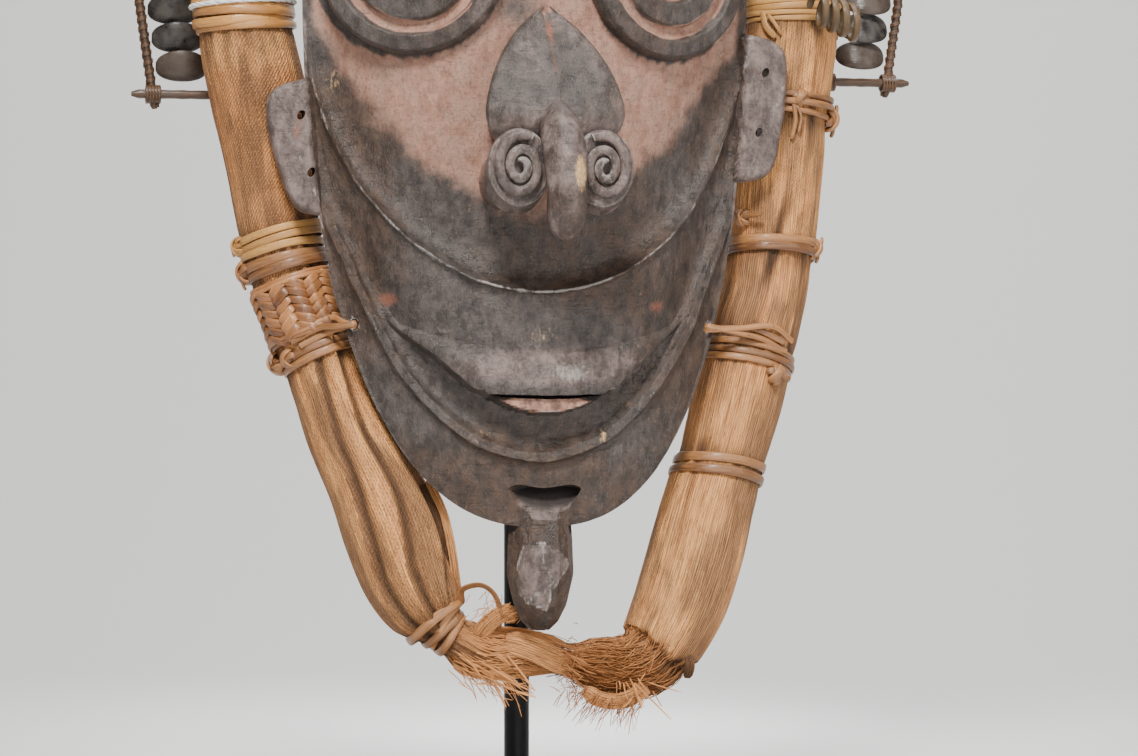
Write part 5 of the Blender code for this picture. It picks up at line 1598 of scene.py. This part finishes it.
def strap(piece, roll, hole, thick, side):
    """Strands that run from a tie over to the hole in the mask's edge and into it."""
    x, z = hole
    depth = float(face_depth(np.array(x), np.array(z)))
    start = roll.height(z - 8)
    for n, (drop, width) in enumerate(((0.0, 3.4), (3.6, 3.0), (-3.2, 3.0))):
        s, degrees = start - drop, -95 - side * 30 + 9 * n
        first, second = roll.at(s, degrees, thick)[0], roll.at(s + 1.5, degrees + side * 38, thick + 0.8)[0]
        near_hole = np.array([x, depth - 2.4, z + 0.25 * (drop - 1)])
        keys = [first, second, (second + near_hole) / 2 - [0, 1.5, 0], near_hole, [x, depth + 5, z]]
        path = through(keys, np.linspace(0, 1, 30))
        taper = np.interp(np.linspace(0, 1, 30), [0, 0.5, 0.8, 1], [width, width, 3.0, 4.4])
        sweep(piece, path, carried(path, (0.0, -1.0, 0.3)), taper, thick, 8, 0.5, 1.0, tint=0.3 + 0.3 * n)


def build_ties(rolls, paints):
    """Ties of strands, rings, knots and loose bits, as the table gives them."""
    for name, tie in TIES.items():
        piece, roll, thick = Piece("tint"), rolls[tie["roll"]], tie["thick"]
        for number, (left, right, *look) in enumerate(tie["strands"]):
            low, high = roll.edge(left, CAMERA_TURN - 168), roll.edge(right, CAMERA_TURN - 12)
            wound(piece, roll, low, high, look, thick, number)
        for number, (low, high, *look) in enumerate(tie.get("rings", ())):
            wound(piece, roll, low, high, look, thick, number)
        for px, py, size, turn, stubs in tie.get("knots", ()):
            knot(piece, roll, px, py, size, thick, turn, stubs)
        for width, places in tie.get("bits", ()):
            laid(piece, roll, places, width, thick, tint=0.4)
        if "loop" in tie:
            free(piece, tie["loop"], 3.6, 0.9, tint=0.5)
        if "strap" in tie:
            strap(piece, roll, tie["strap"], thick, 1 if tie["roll"] == "left" else -1)
        piece.make(name + "_strands", paints[tie["slot"]], tie["slot"], (name,))


def build_sleeve(roll, paint):
    """Braided sleeve: columns of leaves that slant one way and then the other, between edge strands."""
    piece = Piece("tint")
    low, high = roll.height(246.5), roll.height(274.5)
    chance = np.random.default_rng(7)
    for column in range(SLEEVE_COLUMNS):
        middle = 360 / SLEEVE_COLUMNS * (column + 0.3)
        slant = 1 if column % 2 else -1
        for s in np.arange(low + 2.5, high - 1, SLEEVE_PITCH):
            t = np.linspace(-1, 1, 9)
            degrees = middle + t * 205 / SLEEVE_COLUMNS
            lift = 1.5 + 0.9 * np.cos(t * 1.5) - 1.1 * np.abs(t) ** 3
            path, out = roll.at(s + slant * t * 3.4, degrees, lift)
            sweep(piece, path, out, SLEEVE_PITCH * 0.95 * chance.uniform(0.85, 1.05), 1.3, 8, 0.55, 0.7,
                  tint=chance.uniform(0, 1) ** 1.6)
    for number, (s, lift) in enumerate(((low, 1.6), (low + 2.0, 2.2), (high, 1.6), (high - 2.0, 2.2))):
        degrees = np.linspace(90, 460, 70)
        path, out = roll.at(s + 0.4 * np.sin(np.radians(degrees * 2 + 90 * number)), degrees, lift)
        sweep(piece, eased(path), out, 2.4, 1.7, 8, 0.7, tint=0.2 + 0.2 * number)
    piece.make("sleeve_left_braid", paint, "rattan_braid", ("sleeve_left",))


def roll_values(roll, tone_stations, s, degrees, z):
    """Paleness, stain and painted shade of a roll's skin."""
    a = np.radians(degrees)
    x, y = SKIN_RADIUS * np.cos(a), SKIN_RADIUS * np.sin(a)
    tone = smooth(tone_stations, z) + 0.25 * noise(x, s, y, (12.0, 50.0, 12.0), roll.seed + 30)
    stain = 0.3 + 0.6 * layers(x, s, y, (9.0, 45.0, 9.0), roll.seed + 31) + 0.3 * rise(-60, 60, degrees)
    # Darker towards the lower end; painted shade in bands at the ties, in a line past each fold's edge and along
    # the sheath's cut edge.
    dirt = 0.25 * rise(110, 92, z)
    for place in roll.pinches:
        dirt = dirt + 0.55 * np.exp(-((np.abs(s - place) / 8) ** 2))
    for number, fold in enumerate(roll.folds):
        past, shown = roll.past_fold(fold, number, s, degrees)
        dirt = dirt + 0.8 * shown * np.exp(-((past - 8) / 7) ** 2) * min(1.0, fold[4] / 1.5)
        stain = stain + 0.5 * shown * np.exp(-past / 16) * min(1.0, fold[4] / 1.5)
    if roll.cut:
        past = roll.past_cut(s, degrees)
        dirt = dirt + 0.9 * np.exp(-np.abs(past + 1.5) / 2.5) * (past < 1)
        stain = stain + 0.35 * rise(0, -3, past)
        tone = tone - 0.4 * rise(0, -3, past)
    kept = {name: np.clip(value, 0, 1) for name, value in (("tone", tone), ("stain", stain), ("dirt", dirt))}
    return {**kept, "net": smooth(roll.net, z)}


def roll_piece(roll, tone_stations):
    """Skin of a roll."""
    piece = Piece("tone", "stain", "dirt", "net")
    degrees = np.linspace(0, 360, ROLL_SIDES + 1)
    s, angle = np.meshgrid(roll.run, degrees[:-1], indexing="ij")
    points = roll.at(s, angle)[0]
    shut = rise(0, 10, s)[..., None]
    centre = np.stack([np.interp(s, roll.run, roll.line[:, n]) for n in range(3)], -1)
    points = centre + (points - centre) * (0.35 + 0.65 * shut)
    values = roll_values(roll, tone_stations, s, angle, points[..., 2])
    piece.add(points, np.radians(degrees) * SKIN_RADIUS, roll.run, **values)
    return piece


def fuzz(piece, roll, low, high, angles, count, length, lift, seed, **values):
    """Loose fibres that lie along a roll's skin towards its torn end."""
    chance = np.random.default_rng(seed)
    t = np.linspace(0, 1, 7)
    for _ in range(count):
        s, degrees = chance.uniform(low, high), chance.uniform(*angles)
        reach, drift = length * chance.uniform(0.5, 1.2), chance.normal(0, 9)
        path = roll.at(s - reach * t, degrees + drift * t + chance.normal(0, 9) * t * t,
                       0.15 + lift * chance.uniform(0.1, 1.0) * np.sin(t * chance.uniform(1.6, 3.0)))[0]
        spill = np.maximum(0, reach * t - s)[:, None]
        path = path - unit(roll.line[1, :3] - roll.line[0, :3]) * spill
        tone = values["tone"] * chance.uniform(0.6, 1.3)
        cord(piece, path, chance.uniform(0.14, 0.32), 3, tone=tone, stain=values["stain"],
             dirt=values["dirt"])


PALE = {"tone": 0.9, "stain": 0.0, "dirt": 0.0}
TORN = {"tone": 0.3, "stain": 0.4, "dirt": 0.1}
# Values for strips that stand for shade in gaps and openings: painted shade.
SHADE_STRIP = {"tone": 0.1, "stain": 0.6, "dirt": 0.85}


def build_left_tail(piece, roll):
    """Torn end of the left roll: a bundle of fibres, flaps and straws."""
    fuzz(piece, roll, 14, 58, (-200, 20), 420, 22, 1.6, 310, **PALE)
    fuzz(piece, roll, 2, 34, (-200, 20), 300, 13, 1.5, 311, **TORN)
    for n, (px, py, depth) in enumerate(((462, 668, 24), (484, 674, 24), (505, 678, 26))):
        fibres(piece, seen_at(px, py, depth), (0.75, -0.1, -0.45), 26, 13, 0.2, 0.15, 300 + n, 0.24,
               (5, 2, 3), **PALE)
    free(piece, ((478, 636, 26), (490, 622, 22), (505, 613, 23), (516, 618, 27)), 9, 0.7, 12, **TORN)
    fibres(piece, seen_at(496, 616, 22), (0.4, -0.2, 0.4), 70, 6, 0.5, 0.1, 315, 0.18, (7, 1, 3), **PALE)
    free(piece, ((505, 640, 25), (530, 648, 22), (552, 658, 24), (572, 668, 26)), 12, 0.8, 12, **TORN)
    fibres(piece, seen_at(566, 666, 25), (0.7, -0.1, -0.3), 60, 8, 0.4, 0.2, 316, 0.2, (3, 2, 5), **TORN)
    fibres(piece, seen_at(486, 664, 21), (0.75, -0.25, -0.5), 14, 13, 0.25, 0.1, 317, 0.5, (6, 2, 4), **PALE)
    # Strip painted as shade in the dark gap beside the curled flap.
    free(piece, ((424, 484, 33), (438, 516, 29), (447, 552, 28), (454, 590, 31)), 6, 0.8, 10, **SHADE_STRIP)
    free(piece, ((428, 480, 33), (443, 512, 27), (452, 550, 26), (458, 594, 30)), 4.2, 0.9, 10, **TORN)


def build_right_tail(piece, roll):
    """Torn end of the right roll: a strip painted as shade for the dark opening at the sheath's edge, and a fuzzy
    folded bundle.
    """
    # Strip painted as shade in the dark opening at the sheath's edge.
    free(piece, ((688, 654, 24), (690, 666, 22), (687, 678, 25)), 5, 1.0, 10, **SHADE_STRIP)
    fuzz(piece, roll, 10, 50, (-200, 30), 520, 17, 1.8, 320, **TORN)
    fuzz(piece, roll, 2, 40, (-180, 10), 260, 14, 1.6, 321, **PALE)
    for n, (px, py, depth) in enumerate(((585, 690, 25), (600, 697, 23), (615, 700, 22), (632, 700, 22))):
        fibres(piece, seen_at(px, py, depth), (-0.45, -0.1, -0.6), 34, 9, 0.3, 0.2, 330 + n, 0.22,
               (5, 2, 2), **TORN)
    fibres(piece, seen_at(576, 664, 26), (-0.8, -0.1, 0.1), 60, 8, 0.4, 0.1, 340, 0.2, (2, 2, 6), **TORN)
    free(piece, ((584, 690, 27), (602, 700, 23), (624, 700, 22), (648, 688, 25)), 8, 0.7, 12, **TORN)
    fuzz(piece, roll, 4, 44, (-60, 40), 220, 10, 3.0, 322, **TORN)
    fibres(piece, seen_at(636, 684, 17), (0.35, -0.3, -0.7), 16, 10, 0.35, 0.1, 341, 0.45, (5, 2, 3), **PALE)


def build_rolls():
    """Both rolls with their torn ends, and all that is tied round them."""
    left = Roll(ROLL_LEFT, FOLDS_LEFT, PINCHES_LEFT, 400)
    right = Roll(ROLL_RIGHT, FOLDS_RIGHT, PINCHES_RIGHT, 500, SHEATH_CUT)
    spathe = spathe_paint()
    piece = roll_piece(left, TONE_LEFT)
    build_left_tail(piece, left)
    piece.make("spathe_roll_left", spathe, "spathe", ("roll_left",), 50)
    piece = roll_piece(right, TONE_RIGHT)
    build_right_tail(piece, right)
    piece.make("spathe_roll_right", spathe, "spathe", ("roll_right",), 50)
    paints = {
        "rattan_orange": strip_paint("rattan_orange_glossy", (0.20, 0.070, 0.015), (0.68, 0.330, 0.090),
                                     0.32, 0.35),
        "rattan_brown": strip_paint("rattan_brown_split", (0.085, 0.030, 0.009), (0.50, 0.225, 0.078),
                                    0.40, 0.2),
        "rattan_braid": strip_paint("rattan_braided", (0.080, 0.026, 0.008), (0.54, 0.225, 0.075), 0.38,
                                    0.25),
        "bast_yellow": strip_paint("bast_pale", (0.22, 0.090, 0.022), (0.58, 0.300, 0.085), 0.5, 0.1),
    }
    build_ties({"left": left, "right": right}, paints)
    build_sleeve(left, paints["rattan_braid"])
    build_string(left)
    build_coil()
    build_crown_tie(paints["rattan_brown"])


def build_string(roll):
    """White string of three plies, wound once round a roll."""
    cotton = plain_paint("cotton_string", (0.62, 0.62, 0.60), (0.86, 0.86, 0.84), (1.0, 1.0, 1.0), 0.9, 0.15)
    piece = Piece("tint")
    degrees = np.linspace(60, 425, 140)
    core, out = roll.at(roll.height(STRING_Z) + 0.5 * np.sin(np.radians(degrees)), degrees, 2.2)
    for ply in range(3):
        a = np.radians(degrees * 9 + 120 * ply)
        along = unit(np.gradient(core, axis=0))
        other = np.cross(along, out)
        path = core + 0.62 * (out * np.cos(a)[:, None] + other * np.sin(a)[:, None])
        cord(piece, path, 0.72, 6)
    piece.make("string_twisted", cotton, "cotton", ("white_string",))


def build_coil():
    """Cane wound into a coil of rings."""
    cane = strip_paint("cane_olive", (0.034, 0.018, 0.007), (0.17, 0.100, 0.038), 0.45, 0.15)
    piece = Piece("tint")
    coil = COIL_RING
    turns = coil["turns"]
    t = np.linspace(-turns / 2, turns / 2, 40 * turns)
    run = coil["pitch"] * (t + 0.06 * np.sin(2 * math.pi * t))
    a = 2 * math.pi * (t + turns / 2)
    path = np.stack([coil["x"] + run, coil["depth"] + coil["radius"] * np.cos(a),
                     coil["z"] + 3 + (coil["radius"] - 1.5) * np.sin(a) + coil["tilt"] * run], -1)
    out = np.stack([0 * a, np.cos(a), np.sin(a)], -1)
    sweep(piece, path, out, 3.7, 1.8, 10, 0.5, tint=0.4)
    piece.make("coil_rings", cane, "cane", ("cane_coil",))


def build_crown_tie(paint):
    """Lashing that joins the rolls over the mask."""
    piece = Piece("tint")
    tie = CROWN_TIE
    a = np.linspace(0, 2 * math.pi * tie["turns"], 44 * tie["turns"])
    x = np.linspace(-tie["half_length"] + 1.8, tie["half_length"] - 1.8, len(a))
    swell = 1.2 * (1 - (x / tie["half_length"]) ** 2)
    reach = tie["radius"] + 1.3 + swell
    out = np.stack([0 * a, np.cos(a), np.sin(a)], -1)
    path = np.stack([x, tie["depth"] + reach * np.cos(a), tie["z"] + reach * np.sin(a)], -1)
    sweep(piece, path, out, 4.2, 2.0, 8, 0.6, tint=0.3)
    piece.make("crown_lashing", paint, "rattan_brown", ("tie_crown",))


# Shell ruff

def ruff_points(s, offset=0.0):
    """Points of the ruff at shares s of its length, moved outwards by offset."""
    s = np.asarray(s, float)
    arc = math.pi * math.sqrt((RUFF_HALF_WIDTH ** 2 + RUFF_HEIGHT ** 2) / 2)
    run = s * (RUFF_DROP_LEFT + arc + RUFF_DROP_RIGHT) - RUFF_DROP_LEFT
    a = math.pi * (1 - np.clip(run / arc, 0, 1))
    left, right = np.maximum(0, -run), np.maximum(0, run - arc)
    x = RUFF_X + (RUFF_HALF_WIDTH + offset) * np.cos(a) + RUFF_DROP_LEAN * (left - right)
    z = RUFF_Z + (RUFF_HEIGHT + offset) * np.sin(a) - left - right
    return np.stack([x, np.full(x.shape, RUFF_DEPTH), z], -1)


def ruff_places():
    """Shares of the ruff's length at which its sticks and its shells sit."""
    group = SHELLS_PER_STICK + 1
    count = SHELL_COUNT // SHELLS_PER_STICK * group + 1
    places = [(i + 0.5) / count for i in range(count)]
    return places[::group], [place for i, place in enumerate(places) if i % group]


def build_stick(piece, here):
    """Stick across both hoops, with rings of split cane that lash it to each."""
    inner = ruff_points([here], -HOOP_OFFSET - 4)[0]
    outer = ruff_points([here], HOOP_OFFSET + STICK_OVERHANG)[0]
    t = np.linspace(0, 1, 14)[:, None]
    path = inner + (outer - inner) * t - np.array([0, STICK_RADIUS * 1.1, 0])
    cord(piece, path, STICK_RADIUS * 0.9 * (1 + 0.06 * np.sin(t[:, 0] * 30)), 10, tint=0.5)
    along = unit(outer - inner)
    side = unit(np.cross(along, [0, 1.0, 0]))
    a = np.linspace(0, 2 * math.pi, 18)[:, None]
    way = np.cos(a) * np.array([0, -1.0, 0]) + np.sin(a) * side
    for offset in (-HOOP_OFFSET, HOOP_OFFSET):
        middle = ruff_points([here], offset)[0] - np.array([0, STICK_RADIUS * 0.5, 0])
        for n in range(5):
            ring = middle + along * (n - 2) * 1.5 + way * (HOOP_RADIUS + 1.9)
            sweep(piece, ring, way, 1.6, 0.8, 5, 0.7, tint=0.8)


def build_frame(paint):
    """Two cane hoops wrapped in split cane, and the sticks that cross them."""
    piece = Piece("tint")
    s = np.linspace(0, 1, 420)
    for offset in (-HOOP_OFFSET, HOOP_OFFSET):
        path = ruff_points(s, offset)
        path = path + 0.4 * np.stack([noise(s * 80, n, offset, 5.0, 600 + n) for n in range(3)], -1)
        cord(piece, path, HOOP_RADIUS * 0.86, 10, tint=0.3)
        wraps = np.linspace(0.002, 0.998, WRAP_STEPS)
        core = np.stack([np.interp(wraps, s, path[:, n]) for n in range(3)], -1)
        out = unit(ruff_points(wraps, offset + 1) - ruff_points(wraps, offset))
        front = np.array([0.0, -1.0, 0.0])
        turn = 2 * math.pi * wraps * HOOP_WRAPS
        way = out * np.cos(turn)[:, None] + front * np.sin(turn)[:, None]
        for first in range(0, WRAP_STEPS, WRAP_PART):
            part = slice(first, first + WRAP_PART + 1)
            sweep(piece, (core + way * (HOOP_RADIUS * 0.92))[part], way[part], 2.4, 0.7, 4, 0.6, tint=0.6)
    for here in ruff_places()[0]:
        build_stick(piece, here)
    piece.make("hoops_and_sticks", paint, "cane", ("shell_frame",))


def build_shells(paint):
    """Half-moon shells bound between the hoops, each a little different."""
    chance = np.random.default_rng(12)
    for number, here in enumerate(ruff_places()[1], 1):
        middle = ruff_points([here])[0]
        out = unit(ruff_points([here], 5)[0] - middle)
        front = np.array([0.0, -1.0, 0.0])
        side = unit(np.cross(out, front) + front * SHELL_TILT)
        t = np.linspace(-1, 1, 30)
        a = circle(26)
        half = SHELL_WIDTH * 0.76 * np.maximum(0.02, 1.04 - t * t) ** 0.4 * chance.uniform(0.92, 1.04)
        bow = SHELL_BOW * (1 - t * t) - 2
        round_x, round_y = np.cos(a), np.sin(a)
        thick = np.where(round_y > 0, 2.0, 1.0)[None] * (1.1 - 0.6 * t[:,
                                                                       None] ** 2) * np.abs(round_y)[None] ** 0.9
        ribs = 0.12 * np.sin(np.abs(round_x)[None] * 26 + 2 * t[:, None])
        lift = np.sign(round_y)[None] * (thick + ribs * (round_y > 0))
        grid = (middle + out * (SHELL_LENGTH / 2 * t)[:, None, None] + front * (bow[:, None] + lift)[...,
                                                                                                     None]
                + side * (half[:, None] * round_x)[..., None])
        piece = Piece("tint")
        piece.add(grid, np.append(round_x, round_x[0]) * 5, t * 13, tint=chance.uniform(0, 1))
        piece.make("shell_half_moon_%02d" % number, paint, "shell", ("shell_%02d" % number,))


def build_ruff():
    build_frame(strip_paint("cane_split", (0.016, 0.007, 0.003), (0.105, 0.046, 0.016), 0.42, 0.2))
    build_shells(shell_paint())


def shell_paint():
    """Grey nacre worn smooth, with growth lines and chalky patches."""
    p = Paint("shell_grey", roughness=0.4, specular=0.32)
    lines = p.noise((0.35, 9.0, 1.0), 3, "UV", 0.4)
    patch = p.noise((6, 6, 6), 4)
    base = p.mix(p.between(patch, 0.35, 0.65), (0.016, 0.014, 0.013), (0.058, 0.051, 0.046))
    base = p.mix(p.between(lines, 0.5, 0.7, 0.0, 0.5), base, (0.05, 0.046, 0.044))
    base = p.mix(p.between(p.value("tint"), 0.0, 1.0, 0.0, 0.5), base, (0.085, 0.058, 0.042))
    return p.done(base, p.between(patch, 0.3, 0.7, 0.25, 0.5), p.bump(lines, 0.15))


# Stand

def build_stand():
    """Black rod that bends forward into the mask, on a bevelled foot plate."""
    paint = plain_paint("black_satin_steel", (0.0025, 0.0027, 0.003), (0.0045, 0.005, 0.0055), (6, 6, 30),
                        0.36, 0.03,
                        specular=0.2)
    piece = Piece()
    points = [(0, ROD_DEPTH, BASE_THICKNESS + 0.2), (0, ROD_DEPTH, ROD_TOP_Z - ROD_BEND_RADIUS)]
    for i in range(1, 19):
        a = math.pi / 2 * i / 18
        points.append((0, ROD_DEPTH - ROD_BEND_RADIUS * (1 - math.cos(a)),
                       ROD_TOP_Z - ROD_BEND_RADIUS * (1 - math.sin(a))))
    points.append((0, ROD_TIP_DEPTH, ROD_TOP_Z))
    path = np.array(points, float)
    normals = carried(path, (1.0, 0.0, 0.0))
    along = unit(np.gradient(path, axis=0))
    a = circle(64)
    other = np.cross(along, normals)
    grid = path[:, None] + ROD_RADIUS * (normals[:, None] * np.cos(a)[:, None] + other[:,
                                                                                       None] * np.sin(a)[:, None])
    piece.add(grid, np.linspace(0, 40, 65), np.linspace(0, 520, len(path)))
    piece.make("rod_bent", paint, "black_steel", ("stand_rod",), 40)
    piece = Piece()
    a = circle(96, 0.5)
    rows = []
    for inset, z in ((3.0, 0.0), (0.6, 0.0), (0.0, 0.6), (0.0, 8.6), (0.4, 9.6), (1.4, 10.0), (4.0, 10.0)):
        c, s = np.cos(a), np.sin(a)
        x = np.sign(c) * np.abs(c) ** 0.09 * (BASE_WIDTH / 2 - inset)
        y = np.sign(s) * np.abs(s) ** 0.09 * (BASE_LENGTH / 2 - inset)
        rows.append(np.stack([x, y - FACE_PLANE_Y, np.full(96, z)], -1))
    piece.add(rows, np.linspace(0, 700, 97), np.linspace(0, 20, 7))
    piece.make("foot_plate", paint, "black_steel", ("stand_base",), 30)


# Set, light and camera

def build_set():
    """Pale floor that curves up into a backdrop."""
    profile = [(FLOOR_START, 0.0), (FLOOR_END, 0.0)]
    for n in range(1, CURVE_STEPS + 1):
        a = math.pi / 2 * n / CURVE_STEPS
        profile.append((FLOOR_END + CURVE_RADIUS * math.sin(a), CURVE_RADIUS * (1 - math.cos(a))))
    profile.append((FLOOR_END + CURVE_RADIUS, WALL_TOP))
    points = [(x / MM, y / MM - FACE_PLANE_Y, z / MM) for y,
              z in profile for x in (-SET_HALF_WIDTH, SET_HALF_WIDTH)]
    faces = [(2 * n, 2 * n + 1, 2 * n + 3, 2 * n + 2) for n in range(len(profile) - 1)]
    made = new_object("backdrop", np.array(points), faces)
    made.data.polygons.foreach_set("use_smooth", [True] * len(faces))
    made.rotation_euler.z = math.radians(CAMERA_TURN)
    p = Paint("backdrop_paper", roughness=0.9, specular=0.1)
    made.data.materials.append(p.done((0.625, 0.62, 0.615)))


def area_light(name, place, aim, size, power, colour):
    """Round lamp at a place, turned to its aim."""
    data = bpy.data.lights.new(name, "AREA")
    data.shape = "DISK"
    data.size = size
    data.energy = power
    data.color = colour
    made = placed(name, data)
    made.location = place
    made.rotation_euler = (Vector(aim) - Vector(place)).to_track_quat("-Z", "Y").to_euler()


def build_light():
    """Soft lamps and a dim even sky."""
    for lamp in LAMPS:
        area_light(*lamp)
    surroundings = bpy.data.worlds.new("studio")
    surroundings.use_nodes = True
    sky = surroundings.node_tree.nodes["Background"]
    sky.inputs["Color"].default_value = SKY_COLOUR
    sky.inputs["Strength"].default_value = SKY_STRENGTH
    bpy.context.scene.world = surroundings


def build_camera():
    """Camera at the photograph's place: level, and turned a little to the left of the mask's front."""
    start = camera_axes()[2]
    data = bpy.data.cameras.new("camera")
    data.sensor_width = SENSOR
    data.lens = SENSOR * CAMERA_DISTANCE / (PHOTO_WIDTH * MM_PER_PIXEL)
    data.clip_end = 20
    made = placed("camera", data)
    made.location = world((*start, CAMERA_Z))
    made.rotation_euler = (math.pi / 2, 0, math.radians(CAMERA_TURN))
    bpy.context.scene.camera = made


def main():
    build_mask()
    build_rolls()
    build_ruff()
    build_stand()
    build_set()
    build_light()
    build_camera()


main()
